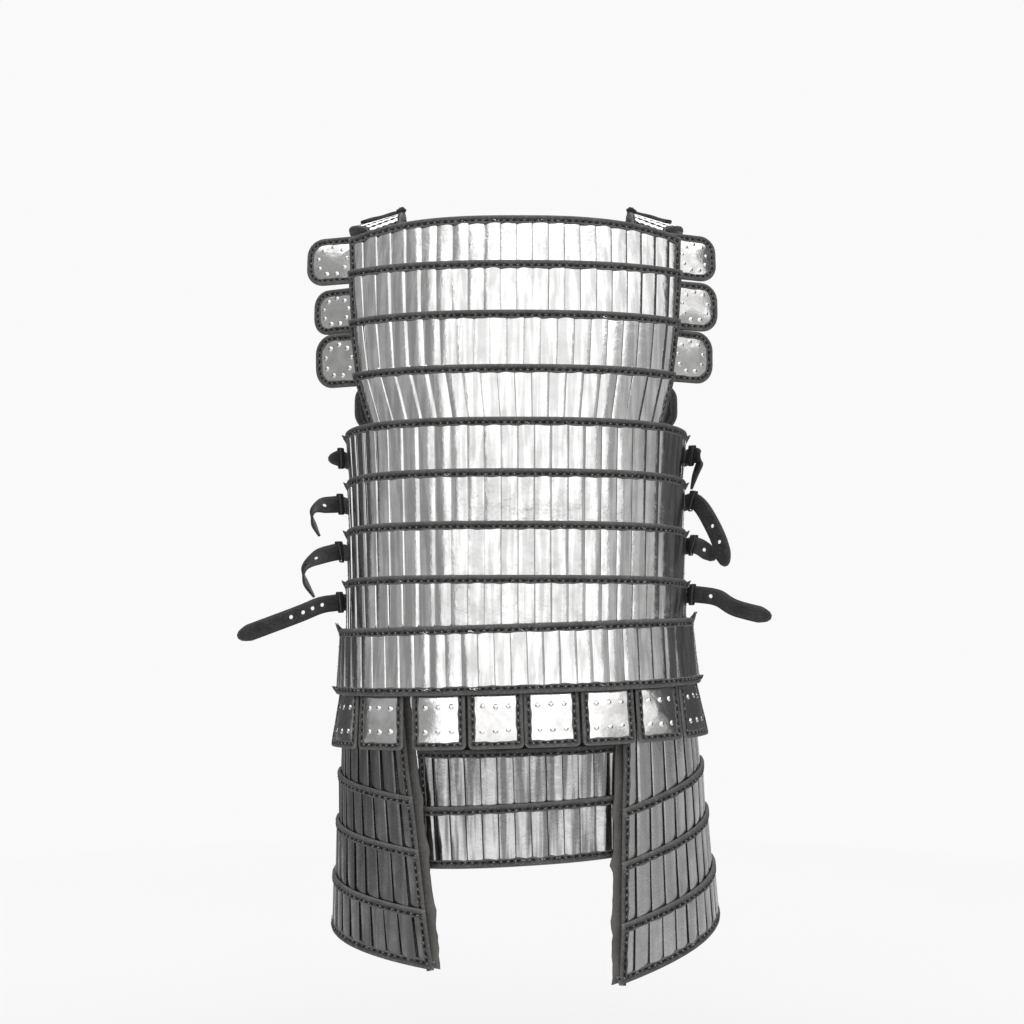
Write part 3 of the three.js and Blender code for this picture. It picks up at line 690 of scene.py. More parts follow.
def steel_material(name, light, dark, smooth, rough, dents, painted_streak_strength=0.0):
    """Polished plate: hammered waves, upright scratches, smears, upright dark streaks that are a painted
    reflection, and edges made lighter as a painted highlight.

    light and dark are its colours, smooth and rough its roughness, dents the depth of its waves and the
    last argument how strongly the painted reflection streaks show.
    """
    made = Nodes(name)
    painted_streak_grey = darker(light, 0.32)
    made.shader.inputs["Metallic"].default_value = 1.0
    tint = made.tint()
    offset = made.math("MULTIPLY", tint, 40.0)
    plain = made.place()
    upright = made.place((1, 1, 0.12))
    waves = made.noise(plain, 70, 3.0, 0.5, offset)
    pits = made.noise(plain, 340, 2.0, 0.55, offset)
    peel = made.noise(upright, 620, 2.0, 0.6, offset)
    scratches = made.noise(made.place((1, 1, 0.03)), 2600, 2.0, 0.6, offset)
    smears = made.noise(plain, 38, 4.0, 0.65, offset)
    tone = made.blend(made.span(smears, 0.35, 0.7), light, dark)
    tone = made.blend(made.span(tint, 0.0, 1.0, 0.0, 0.3), tone, dark)
    # Upright streaks painted darker over the steel: a painted reflection, streaks of the room reflected
    # down the polished plates.
    streaks = made.noise(made.place((1, 1, 0.05)), 150, 2.0, 0.5, offset)
    tone = made.blend(made.math("MULTIPLY", made.span(streaks, 0.42, 0.58), painted_streak_strength), tone, painted_streak_grey)
    # Edges painted lighter: a painted highlight where the plates' edges catch the light.
    tone = made.blend(made.math("MULTIPLY", made.edges(0.53, 0.6), 0.5), tone, light)
    roughness = made.span(smears, 0.35, 0.75, smooth, rough)
    roughness = made.math("ADD", roughness, made.span(scratches, 0.45, 0.75, 0.0, 0.08))
    normal = made.bump(waves, dents)
    normal = made.bump(pits, 0.09 * MM, normal)
    normal = made.bump(peel, 0.06 * MM, normal)
    normal = made.bump(scratches, 0.006 * MM, normal)
    return made.connect(Base_Color=tone, Roughness=roughness, Normal=normal)


def leather_material(name, tone, worn, grain, smooth, rough):
    """Leather: pebbled grain, long creases, uneven dye and rubbed edges."""
    made = Nodes(name)
    made.shader.inputs["Specular IOR Level"].default_value = 0.3
    plain = made.place()
    offset = made.math("MULTIPLY", made.tint(), 25.0)
    dye = made.noise(plain, 55, 5.0, 0.6, offset)
    fine = made.noise(plain, 400, 3.0, 0.7)
    pebbles = made.node("ShaderNodeTexVoronoi", {"Vector": plain, "Scale": grain}).outputs["Distance"]
    creases = made.noise(made.place((1, 1, 2.2)), 130, 4.0, 0.6, offset)
    dark = darker(tone, 0.35)
    colour = made.blend(made.span(dye, 0.3, 0.6), dark, tone)
    colour = made.blend(made.span(fine, 0.5, 0.3, 0.0, 0.8), colour, dark)
    colour = made.blend(made.math("MULTIPLY", made.span(fine, 0.52, 0.75), 0.6), colour, worn)
    colour = made.blend(made.math("MULTIPLY", made.edges(0.51, 0.58), 0.6), colour, worn)
    roughness = made.span(dye, 0.3, 0.7, rough, smooth)
    normal = made.bump(creases, 0.5 * MM)
    normal = made.bump(pebbles, 0.22 * MM, normal)
    normal = made.bump(fine, 0.35 * MM, normal)
    return made.connect(Base_Color=colour, Roughness=roughness, Normal=normal)


def thread_material(name):
    """Waxed thread: mostly near black, the thread's own dark colour and partly painted shade of the stitch
    holes, with short beads painted pale as a painted glint, and a twist along it.
    """
    made = Nodes(name)
    made.shader.inputs["Specular IOR Level"].default_value = 0.15
    # A tint near 1 marks the short pale beads: their pale colour is a painted glint.
    rubbed = made.span(made.tint(), 0.84, 1.0)
    speckle = made.noise(made.place(), 1500, 2.0, 0.6)
    factor = made.math("MULTIPLY", rubbed, made.span(speckle, 0.4, 0.65, 0.2, 1.0))
    # Near black: the thread's own dark colour, and partly painted shade of the stitch holes.
    colour = made.blend(factor, grey(0.006), grey(0.36, 0.05))
    normal = made.bump(made.noise(made.place(), 2200, 1.0, 0.5), 0.12 * MM)
    roughness = made.span(speckle, 0.3, 0.7, 0.4, 0.65)
    return made.connect(Base_Color=colour, Roughness=roughness, Normal=normal)


# The left tasset is darker than the right one, as in the photograph: lit and shaded copies of one satin
# steel, the left one darker as painted shade.
POLISHED = steel_material("polished_steel", grey(0.86), grey(0.62, 0.01), 0.08, 0.22, 0.42 * MM, 0.45)
# The skirt's steel carries the painted reflection streaks at full strength.
PAINTED_STREAK_STEEL = steel_material("painted_reflection_streak_steel", grey(0.86), grey(0.66), 0.14, 0.26, 0.42 * MM, 1.0)
SATIN_LIT_AND_SHADED = {
    "left": steel_material("satin_steel_painted_shade_left", grey(0.23), grey(0.14, 0.01), 0.18, 0.34, 0.30 * MM, 0.5),
    "right": steel_material("satin_steel_lit_right", grey(0.50), grey(0.36, 0.01), 0.18, 0.34, 0.30 * MM, 0.2),
}
STUDDED = steel_material("studded_steel", grey(0.84), grey(0.45, 0.02), 0.10, 0.28, 0.6 * MM)
CHARCOAL = leather_material("charcoal_leather", grey(0.036), grey(0.20, 0.02), 420, 0.5, 0.8)
BACKING = leather_material("backing_leather_grain", grey(0.05, 0.04), grey(0.13, 0.06), 480, 0.6, 0.85)
BLACK = leather_material("black_strap_leather", grey(0.020), grey(0.06), 760, 0.38, 0.6)
THREAD = thread_material("waxed_thread")


# ---- Rows ----

BINDING_DEEP = PLATE + 0.4 * MM
PLATE_INSET = 1.5 * MM  # from a bound edge to the ends of the lamellae
PLATE_FRONT = 0.95 * MM  # from the inside of a row to the front of its lamellae
# How far a binding's tip goes on, rises and stands out, in mm, and its size there.
TIP_FLARE = [(3, 0.5, 1.0, 0.95), (6, 2.0, 3.0, 0.75), (8, 4.5, 5.5, 0.45), (9, 7.5, 7.5, 0.12)]
WRAP_TIPS = 0.35  # size of the tips on the rows that go round to the sides


def row_edges(edge, row, lap):
    """Functions of the height of a row's two edges, the lower one a lap above the next row's top."""
    return (lambda distance: edge(row, distance)), (lambda distance: edge(row + 1, distance) - lap)


def make_row(
    node, skin, heights, starts, ends, dice,
    clear=(HEAD_CLEAR, FOOT_CLEAR), foot_bound=False, tips=0, overlap=OVERLAP, steel=POLISHED,
):
    """A row of lamellae with its leather binding, which it returns.

    heights, starts and ends are pairs, for its top and its foot: functions of an edge's height, and
    the distances where that edge starts and ends.
    """
    top_at, foot_at = heights
    span = sum(end - start for start, end in zip(starts, ends)) / 2
    count = round(span / PITCH)
    fronts = [gap + PLATE_FRONT for gap in clear]
    foot_inset = PLATE_INSET if foot_bound else 0
    edges = (lambda d: top_at(d) - PLATE_INSET), (lambda d: foot_at(d) + foot_inset)
    plates = Shape()
    for k in range(count):
        share = (k + 0.5) / count
        centre = mix(starts[0], ends[0], share), mix(starts[1], ends[1], share)
        room = 2 * min(ends[0] - centre[0], centre[0] - starts[0])
        width = min(span / count + overlap, room + overlap - 2 * MM)
        add_lamella(plates, skin, centre, width, edges, fronts, dice)
    lamellae = plates.make(f"{node}_lamellae", [steel], "steel_plates")
    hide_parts(node)

    trim = Shape()
    outer = [gap + PLATE for gap in clear]
    add_edge(trim, skin, top_at, starts[0], ends[0], outer[0], dice, tips)
    if foot_bound:
        add_edge(trim, skin, foot_at, starts[1], ends[1], outer[1], dice, tips, up=True)
    for end in (0, 1):
        at_top, at_foot = (starts, ends)[end]
        upper = (at_top, top_at(at_top) - 3 * MM, outer[0], 1)
        lower = (at_foot, foot_at(at_foot) + 0.5 * MM, outer[1], 1)
        path = [upper, lower] if end else [lower, upper]
        add_binding(trim, skin, path, SIDE_BINDING, BINDING_PROUD * 0.85, BINDING_DEEP, dice)
    return trim.make(f"{node}_binding", [CHARCOAL, THREAD], "backing_leather")


def add_edge(shape, skin, height_at, start, end, out, dice, tips=0, up=False):
    """The binding along a row's top, or along its foot if up is set, with flared tips if wanted."""
    path = [(d, height_at(d), out, 1) for d in np.linspace(start, end, 60)]
    if tips:
        for more, rise, lift, size in TIP_FLARE:
            raised = height_at(end) + rise * tips * MM
            path.append((end + more * MM, raised, out + lift * MM, size))
            raised = height_at(start) + rise * tips * MM
            path.insert(0, (start - more * MM, raised, out + lift * MM, size))
    if up:
        path.reverse()
    add_binding(shape, skin, path, BINDING, BINDING_PROUD, BINDING_DEEP, dice)


def make_backing(node, skin, grid, wave=None):
    """The leather behind a group of rows."""
    shape = Shape()
    thick_sheet(shape, skin, grid, 0, -LEATHER, wave)
    leather = shape.make(f"{node}_backing", [BACKING], "backing_leather")
    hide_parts(node)
    return leather


# Heights of the torso rows' top edges, and of the waist row's.
TOPS = [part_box(f"back_row_{row}")[1].z for row in range(1, 9)] + [WAIST_TOP]


def row_top(skin, row, distance):
    """Height of a torso row's top edge, rows counted from 0."""
    top = TOPS[row]
    if row == len(TOPS) - 1:
        return top
    end = skin.half_length(top) if row >= WRAP_ROW else skin.reach(BACK_HALF_WIDTH, top)
    share = np.minimum(np.abs(distance) / end, 1)
    if row == 0:
        return top - NECK_DROP * share**3
    return top - SIDE_DROOP * share**4 if row >= WRAP_ROW else top + 0 * share


def armhole_width(ends, height):
    """Half width of a backing at a height, beside the armhole."""
    levels = [-TOPS[row + k] for row in range(WRAP_ROW) for k in (0, 1)]
    widths = [width * MM for pair in ends for width in pair]
    return float(np.interp(-height, levels, widths))


def make_torso(word, facing, first, ends, dice):
    """The rows of the back or the front, on their leather backing."""
    skin = Skin(TORSO_RINGS, facing)

    def edge(number, distance):
        return row_top(skin, number, distance)

    bindings = []
    for row in range(first, len(TOPS) - 1):
        middle = (TOPS[row] + TOPS[row + 1]) / 2
        if row >= WRAP_ROW:
            left = right = [skin.half_length(middle) - SIDE_GAP / 2] * 2
        else:
            left, right = ([skin.reach(w * MM, middle) for w in ends[name][row]] for name, _ in SIDES)
        starts = [-distance for distance in left]
        heights = row_edges(edge, row, LAP)
        tips = WRAP_TIPS if row >= WRAP_ROW else 0
        bindings.append(
            make_row(f"{word}_row_{row + 1}", skin, heights, starts, right, dice, tips=tips)
        )
    leather = make_torso_leather(word, skin, first, ends)
    return skin, leather, bindings


def make_torso_leather(word, skin, first, ends):
    """The backing of a torso's rows, cut away above the armpits for the armholes."""
    rim = 1.5 * MM
    armpit = row_top(skin, WRAP_ROW, 1.0) - rim
    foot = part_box(f"{word}_leather")[0].z
    side = skin.half_length(TOPS[5]) - SIDE_GAP / 2 - 1 * MM
    inner_columns, outer_columns = 14, 8
    upper = np.linspace(TOPS[first] - rim, armpit, 14)
    heights = np.concatenate([upper, np.linspace(armpit, foot, 16)[1:]])
    grid = []
    for i, height in enumerate(heights):
        level = max(height, armpit)
        inners = [skin.reach(armhole_width(ends[name], level) - 0.5 * MM, level) for name, _ in SIDES]
        row = []
        for j in range(-inner_columns - outer_columns, inner_columns + outer_columns + 1):
            beyond = max(0, abs(j) - inner_columns) / outer_columns
            if beyond and height > armpit + 1e-6:
                row.append(None)
                continue
            inner = inners[0] if j < 0 else inners[1]
            distance = inner * min(1, abs(j) / inner_columns) + (side - inner) * beyond
            distance *= math.copysign(1, j)
            top = row_top(skin, first, distance) - rim if first == 0 else heights[0]
            drop = (heights[0] - top) * (1 - i / (len(upper) - 1)) if i < len(upper) else 0
            row.append((distance, height - drop))
        grid.append(row)
    return make_backing(f"{word}_leather", skin, grid)


def make_waist(word, facing, dice):
    skin = Skin(WAIST_RINGS, facing, askew=True)
    end = skin.half_length((WAIST_TOP + WAIST_FOOT) / 2) - SIDE_GAP / 2
    heights = (lambda d: WAIST_TOP + 0 * d), (lambda d: WAIST_FOOT + 0 * d)
    starts, ends = (-end, -end), (end, end)
    return make_row(
        f"{word}_waist", skin, heights, starts, ends, dice, clear=(0, 0), foot_bound=True, tips=1
    )


def make_skirt(dice):
    skin = Skin(SKIRT_RINGS, -1, askew=True)

    def edge(number, distance):
        return SKIRT_EDGES[number] + (SKIRT_SLOPE * distance if number else 0 * distance)

    for row in (0, 1):
        last = row == 1
        reach = skin.reach(SKIRT_HALF_WIDTH, SKIRT_EDGES[row])
        starts, ends = (-reach, -reach), (reach, reach)
        heights = row_edges(edge, row, 0 if last else LAP)
        make_row(
            f"back_skirt_{row + 1}", skin, heights, starts, ends, dice,
            foot_bound=last, overlap=-SKIRT_SPACING, steel=PAINTED_STREAK_STEEL,
        )
    reach = skin.reach(SKIRT_HALF_WIDTH, SKIRT_EDGES[2]) - 1 * MM
    columns = np.linspace(-reach, reach, 21)
    grid = [
        [(d, mix(SKIRT_BACKING_TOP, edge(2, d) + 1.5 * MM, t)) for d in columns]
        for t in np.linspace(0, 1, 16)
    ]
    leather = make_backing("back_skirt_leather", skin, grid)


def make_tasset(name, side, dice):
    skin = Skin(TASSET_RINGS, -1, side=side, askew=True)
    foot = TASSET_EDGES[-1]

    def inner_end(height, behind, beyond=0.0):
        """Distance from the side round to an inner edge, behind or in front, or beyond it."""
        edge = TASSET_BACK_EDGE[name] if behind else TASSET_FRONT_EDGE
        inner_x = mix(*edge, (height - TASSET_BACKING_TOP) / (foot - TASSET_BACKING_TOP)) * MM
        return skin.half_length(height) - skin.reach(inner_x - beyond, height)

    def soften(distance):
        """The distance from the side, rounded off where the rows turn there."""
        return np.hypot(distance, TASSET_ROUND) - TASSET_ROUND

    wide = inner_end(foot, True)
    drop = TASSET_DROP[name]

    def edge(number, distance):
        return TASSET_EDGES[number] - drop * soften(distance) / soften(wide)

    for row in range(4):
        last = row == 3
        heights = row_edges(edge, row, 0 if last else LAP)
        levels = TASSET_EDGES[row] - drop, TASSET_EDGES[row + 1] - drop
        starts = tuple(-inner_end(level, False) for level in levels)
        ends = tuple(inner_end(level, True) for level in levels)
        make_row(
            f"{name}_tasset_{row + 1}", skin, heights, starts, ends, dice,
            foot_bound=last, overlap=-TASSET_SPACING, steel=SATIN_LIT_AND_SHADED[name],
        )

    def frill(height):
        """How far the leather's free edge waves outwards, most beside the head of each row."""
        nearest = min(abs(height - level + drop) for level in TASSET_EDGES[:4])
        return 4.0 * MM * math.exp(-(nearest / (8 * MM)) ** 2) + 0.9 * MM * math.sin(height / (4.5 * MM))

    rows, columns = 46, 41
    grid = []
    for i in range(rows):
        low = i / (rows - 1)
        level = mix(TASSET_BACKING_TOP, foot + 2 * MM, low)
        end_height = level - drop * low
        far = [inner_end(end_height, behind, TASSET_FLANGE) for behind in (False, True)]
        ripple = frill(end_height)
        row = []
        for v in np.linspace(-1, 1, columns):
            distance = v * far[v > 0] + math.copysign(ripple * max(0, abs(v) - 0.9) * 10, v)
            row.append((distance, level - low * drop * soften(v * far[v > 0]) / soften(wide)))
        grid.append(row)

    def wave(distance, height):
        """How far the free edge waves out from the thigh."""
        share = np.clip((np.abs(distance) - (wide - 6 * MM)) / (TASSET_FLANGE + 6 * MM), 0, 1)
        return share * 2.4 * MM * np.sin(height / (7.5 * MM) + side)

    leather = make_backing(f"{name}_tasset_leather", skin, grid, wave)


# ---- Flaps and ears ----

# Width of a binding, how far it stands out, and its depth inside.
FLAP_BINDING, EAR_BINDING = (8 * MM, 1.9 * MM, 1.8 * MM), (8.2 * MM, 2.0 * MM, 2.2 * MM)
FLAP_CROWN = 2.3 * MM
# Places of a flap's studs, across it and as a share of its height from the top.
FLAP_STUDS = [(across * MM, down) for down in (0.34, 0.72) for across in (-14, 0, 14)]
JOINING_STRIP = 9 * MM, 1.2 * MM  # depth and thickness of the leather that joins the front flaps


def dense_outline(outline):
    """A closed outline, with points about 4 mm apart."""
    return resample([(d, z, 0, 1) for d, z in [*outline, outline[0]]], 4 * MM)[0][:-1, :2]


def add_crowned_plate(shape, skin, outline, centre, out, crown, dice):
    """A plate over a closed outline that rises to a low crown, with a rim and a plain back."""
    outline, centre = np.asarray(outline), np.asarray(centre)
    loops = []
    for share in (0.04, 0.3, 0.55, 0.78, 0.93, 1.0):
        places = centre + (outline - centre) * share
        rough = 0.12 * MM * np.sin(places[:, 0] / (5 * MM) + dice.uniform(0, 6))
        loops.append(skin.at(places[:, 0], places[:, 1], out + crown * (1 - share**2) + rough))
    loops.append(skin.at(outline[:, 0], outline[:, 1], out - STEEL))
    shape.add(np.vstack(loops), tube_faces(len(loops), len(outline)), 0, dice.random())


def rounded_foot(half, top, foot, radius):
    """Path down the right side, round the foot and up the left side of a flap."""
    turn = np.linspace(0, math.pi / 2, 6)
    right = [(half - radius + radius * math.cos(a), foot + radius - radius * math.sin(a)) for a in turn]
    left = [(-x, z) for x, z in reversed(right)]
    return [(half, top), *right, *left, (-half, top)]


def add_flap(plates, trim, skin, middle, dice):
    half = FLAP_WIDTH / 2
    outline = rounded_foot(half - 2 * MM, FLAP_TOP, FLAP_FOOT + 2 * MM, 6 * MM)
    shifted = dense_outline(outline) + np.array([middle, 0])
    centre, out = (middle, (FLAP_TOP + FLAP_FOOT) / 2), FLAP_THICKNESS * 0.45
    add_crowned_plate(plates, skin, shifted, centre, out, FLAP_CROWN, dice)
    for across, down in FLAP_STUDS:
        jitter = dice.uniform(-0.8, 0.8) * MM
        height = mix(FLAP_TOP, FLAP_FOOT, down) + dice.uniform(-0.7, 0.7) * MM
        rise = FLAP_CROWN * (1 - (across / half) ** 2) * (1 - (2 * down - 1) ** 2)
        add_stud(plates, skin, middle + across + jitter, height, out + rise, dice)
    edge = rounded_foot(half, FLAP_TOP, FLAP_FOOT, 5 * MM)
    path = [(middle + d, z, FLAP_THICKNESS * 0.6, 1) for d, z in edge]
    add_binding(trim, skin, path, *FLAP_BINDING, dice)


def make_flaps(dice):
    """The flaps behind, each a piece, and those in front, all one. It returns their bindings."""
    made = []
    for facing in (-1, 1):
        skin = Skin(FLAP_RINGS, facing, askew=True)
        plates, trim = Shape(), Shape()
        for index, shift in enumerate(FLAP_SHIFTS):
            middle = (index - (len(FLAP_SHIFTS) - 1) / 2) * FLAP_PITCH + shift * MM
            add_flap(plates, trim, skin, middle, dice)
            if facing < 0:
                node = f"back_flap_{index + 1}"
                plate = plates.make(f"{node}_plate", [STUDDED], "studded_plates", sharp=50)
                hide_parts(node)
                made.append(trim.make(f"{node}_binding", [CHARCOAL, THREAD], "backing_leather"))
                plates, trim = Shape(), Shape()
        if facing > 0:
            half = len(FLAP_SHIFTS) * FLAP_PITCH / 2
            deep, thick = JOINING_STRIP
            strip = [[(d, z) for d in np.linspace(-half, half, 80)] for z in (FLAP_TOP, FLAP_TOP - deep)]
            thick_sheet(trim, skin, strip, thick, 0)
            plate = plates.make("front_flaps_plates", [STUDDED], "studded_plates", sharp=50)
            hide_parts("front_flaps")
            made.append(trim.make("front_flaps_bindings", [CHARCOAL, THREAD], "backing_leather"))
    return made


def ear_skin(torso, spec, facing, side, ends):
    """The flat skin of an ear, which stands off the edge of the armhole at the ear's own turn."""
    row, turn = spec[0], math.radians(spec[1])
    height, size, _ = (value * MM for value in spec[2:])
    half_width = mix(*ends[row], (TOPS[row] - height) / (TOPS[row] - TOPS[row + 1])) * MM
    places = [torso.reach(half_width, z) for z in (height, height + size / 2, height - size / 2)]
    edge = torso.at(places[0], height, -EAR_INSET)
    high = torso.at(places[1], height + size / 2, -EAR_INSET)
    low = torso.at(places[2], height - size / 2, -EAR_INSET)
    along = np.array([side * math.cos(turn), -facing * math.sin(turn), 0])
    up = np.array([0, (high[1] - low[1]) / size, 1])
    outward = unit(np.cross(along, up))
    outward = outward * math.copysign(1, outward[1] * facing)
    return Flat((side * edge[0], edge[1], height), along, up, outward)


def ear_outline(size, reach, inset, start):
    """The edge of an ear from its upper inner corner, round the arm side, to its lower one."""
    radius = size * EAR_ROUNDNESS
    half, turn = size / 2 - inset, np.linspace(math.pi / 2, 0, 8)
    top = [
        (reach - radius + (radius - inset) * math.cos(a), half - (radius - inset) * (1 - math.sin(a)))
        for a in turn
    ]
    return [(start, half), *top, *[(x, -z) for x, z in reversed(top)], (start, -half)]


def make_ear(node, skin, spec, steel, dice):
    """A plate with a ring of studs and a binding, which it returns. In front it is of leather."""
    size, reach = (value * MM for value in spec[3:])
    plates, trim = Shape(), Shape()
    outline = dense_outline(ear_outline(size, reach, 3 * MM, -EAR_TUCK))
    centre = (reach - EAR_TUCK) / 2, 0
    add_crowned_plate(plates, skin, outline, centre, -EAR_SUNK, EAR_CROWN, dice)
    for k in range(EAR_STUDS):
        angle = 2 * math.pi * (k + 0.3) / EAR_STUDS
        across = reach * 0.46 + reach * 0.3 * math.cos(angle)
        height = size * 0.29 * math.sin(angle)
        share = max(abs(across - centre[0]) / (reach / 2), abs(height) / (size / 2))
        add_stud(plates, skin, across, height, -EAR_SUNK + EAR_CROWN * (1 - share**2), dice, 0.85)
    material, slot = (STUDDED, "studded_plates") if steel else (BLACK, "strap_leather")
    plate = plates.make(f"{node}_plate", [material], slot, sharp=50)
    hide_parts(node)
    path = [(d, z, -0.9 * MM, 1) for d, z in ear_outline(size, reach, 0, -EAR_TUCK)]
    add_binding(trim, skin, path, *EAR_BINDING, dice)
    return trim.make(f"{node}_binding", [CHARCOAL, THREAD], "backing_leather")


# ---- Straps ----

SHOULDER_INNER, SHOULDER_FALL = 132, 16 / 68
# Each station is y and z of the inner edge, then x and y of the outer edge, in millimetres.
SHOULDER_STATIONS = [
    (-83, -32, 166, -68),
    (-79, -12, 168, -64),
    (-68, 4, 175, -53),
    (-47, 15, 192, -36),
    (-20, 20, 200, -13),
    (8, 20, 200, 10),
    (34, 14, 198, 30),
    (57, 2, 192, 48),
    (76, -16, 180, 60),
    (87, -38, 168, 70),
    (91, -66, 162, 76),
]
SHOULDER_LEATHER = 2.4 * MM
LAMES = 19
LAMES_START, LAMES_SHARE = 0.10, 0.80  # where on the strap they start, and how much of it they take
LAME_COVER = 0.56  # share of its own pitch that a lame covers
SCALLOP, SCALLOP_PITCH = 1.9 * MM, 8 * MM
SHOULDER_BINDING = 5.5 * MM, 2.6 * MM, 3.6 * MM
CAP_PLACE, CAP_LENGTH = 0.37, 38 * MM  # the cap's middle, as a share of the strap, and its length
CAP_TOP, CAP_FOOT, CAP_STUDS = 8.2 * MM, 5.2 * MM, 7  # heights over the strap, and studs
CAP_RIM = 11 * MM, 4.2 * MM, 3.4 * MM  # like a binding
STRAP_WIDTH, STRAP_THICKNESS = 20 * MM, 2.6 * MM
STRAP_TIP, HOLE_RADIUS = 14 * MM, 2.3 * MM
KEEPER_PLACE, KEEPER_WIDTH = 57 * MM, 7 * MM
# The way of a side strap along the armour before its tail: x on the wearer's right, and y, in mm.
STRAP_START = [(200, 44), (205, 22), (208, 2), (209, -11)]
# Side, height, whether the tail twists edge-on, the tail's points in mm, and holes as shares.
SIDE_STRAPS = {
    "left_side_strap_1": (-1, -267, 0, [(214, -18, -268), (223, -22, -269)], []),
    "left_side_strap_2": (
        -1, -322, 1,
        [(216, -19, -323), (230, -24, -325), (241, -26, -332), (240, -24, -346), (233, -22, -361)],
        [0.62],
    ),
    "left_side_strap_3": (
        -1, -379, 1,
        [(216, -19, -380), (234, -25, -386), (250, -28, -399), (249, -26, -415), (239, -22, -433)],
        [0.62, 0.72],
    ),
    "left_side_strap_4": (
        -1, -439, 0,
        [(216, -19, -440), (232, -25, -443), (258, -31, -454), (326, -40, -480)],
        [0.43, 0.5, 0.57, 0.64],
    ),
    "right_side_strap_1": (
        1, -264, 1, [(215, -18, -266), (217, -22, -276), (212, -22, -290), (208, -20, -305)], [],
    ),
    "right_side_strap_2": (
        1, -318, 0, [(215, -19, -321), (224, -26, -334), (238, -34, -365), (246, -38, -397)], [0.66, 0.8],
    ),
    "right_side_strap_3": (
        1, -371, 0, [(215, -17, -372), (224, -16, -377), (237, -14, -388)], [0.8],
    ),
    "right_side_strap_4": (
        1, -430, 0, [(216, -19, -430), (238, -26, -434), (258, -31, -446), (299, -38, -457)], [0.52],
    ),
}


def add_strap(shape, ribbon, thickness, holes=(), tip=True, step=3 * MM):
    """A flat strap along a ribbon, with rounded edges, punched holes and a pointed tip.

    holes are shares of its length.
    """
    count = max(4, round(ribbon.length / step))
    stations = np.linspace(0, ribbon.length, count + 1)
    spread = np.array([-1.0, -0.92, -0.5, 0.0, 0.5, 0.92, 1.0])
    edge = np.array([0.15, 0.5, 0.5, 0.5, 0.5, 0.5, 0.15]) * thickness
    left = np.clip((ribbon.length - stations) / STRAP_TIP, 0, 1)
    narrow = np.where(left < 1, 0.22 + 0.78 * np.sqrt(left), 1) if tip else 1
    across = spread[None, :] * (ribbon.half_width(stations) * narrow)[:, None]
    along = stations[:, None] + 0 * across
    halves = [ribbon.at(across, along, edge[None, :] * sign) for sign in (1, -1)]
    rows, columns = across.shape
    points = [point for half in halves for point in half.reshape(-1, 3)]
    size = rows * columns
    centres = {min(rows - 3, max(2, round(share * count))) for share in holes}
    faces = []
    for i in range(rows - 1):
        for j in range(columns - 1):
            if j in (2, 3) and (i in centres or i + 1 in centres):
                continue
            a, b = i * columns + j, (i + 1) * columns + j
            face = (a, a + 1, b + 1, b)
            faces += [face, tuple(size + k for k in reversed(face))]
        for j in (0, columns - 1):
            a, b = i * columns + j, (i + 1) * columns + j
            faces.append((a, b, size + b, size + a) if j == 0 else (b, a, size + a, size + b))
    for i in (0, rows - 1):
        for j in range(columns - 1):
            a, b = i * columns + j, i * columns + j + 1
            faces.append((b, a, size + a, size + b) if i == 0 else (a, b, size + b, size + a))
    # Each hole is a round well in a square of the grid that was left out.
    square = [(-1, -1), (-1, 0), (-1, 1), (0, 1), (1, 1), (1, 0), (1, -1), (0, -1)]
    turns = [math.atan2(dj, di) for di, dj in square]
    aside, ahead = HOLE_RADIUS * np.sin(turns), HOLE_RADIUS * np.cos(turns)
    for i in sorted(centres):
        outer = [(i + di) * columns + 3 + dj for di, dj in square]
        start = len(points)
        for sign in (1, -1):
            points.extend(ribbon.at(aside, stations[i] + ahead, sign * thickness * 0.42))
        for k in range(8):
            m = (k + 1) % 8
            faces.append((outer[k], outer[m], start + m, start + k))
            faces.append((size + outer[m], size + outer[k], start + 8 + k, start + 8 + m))
            faces.append((start + k, start + m, start + 8 + m, start + 8 + k))
    shape.add(np.array(points), faces)


def add_keeper(shape, ribbon, along, width, thickness, dice):
    """A leather loop round a strap."""
    half, gap = ribbon.half_width(along) + 1.2 * MM, thickness / 2 + 0.5 * MM
    wall = 1.5 * MM
    turn = np.linspace(0, 2 * math.pi, 28, endpoint=False)
    power = 0.35
    x = np.sign(np.cos(turn)) * np.abs(np.cos(turn)) ** power
    y = np.sign(np.sin(turn)) * np.abs(np.sin(turn)) ** power
    section = [(-0.5, 0), (-0.42, 1), (0.42, 1), (0.5, 0)]
    loops = [
        ribbon.at(x * (half + wall * rise), along + share * width, y * (gap + wall * rise))
        for share, rise in section
    ]
    shape.add(np.stack(loops, axis=1), tube_faces(len(turn), len(section), closed=True), 0, dice.random())


def side_ribbon(side, height, turn, tail):
    """The skin of a side strap, from the front panel to the tail's end."""
    start = [(side * x, y, height) for x, y in STRAP_START]
    points = np.array([*start, *[(side * x, y, z) for x, y, z in tail]]) * MM
    ahead = unit(np.gradient(points, axis=0))
    after = np.maximum(0, np.arange(len(points)) - len(start)) / (len(tail) - 1)
    quarter = turn * after * math.pi / 2
    wide = np.column_stack([0 * quarter, np.sin(quarter), np.cos(quarter)])
    wide = unit(wide - ahead * np.sum(wide * ahead, axis=1, keepdims=True)) * STRAP_WIDTH / 2
    return Ribbon(*even_edges([points - wide, points + wide], 3 * MM))


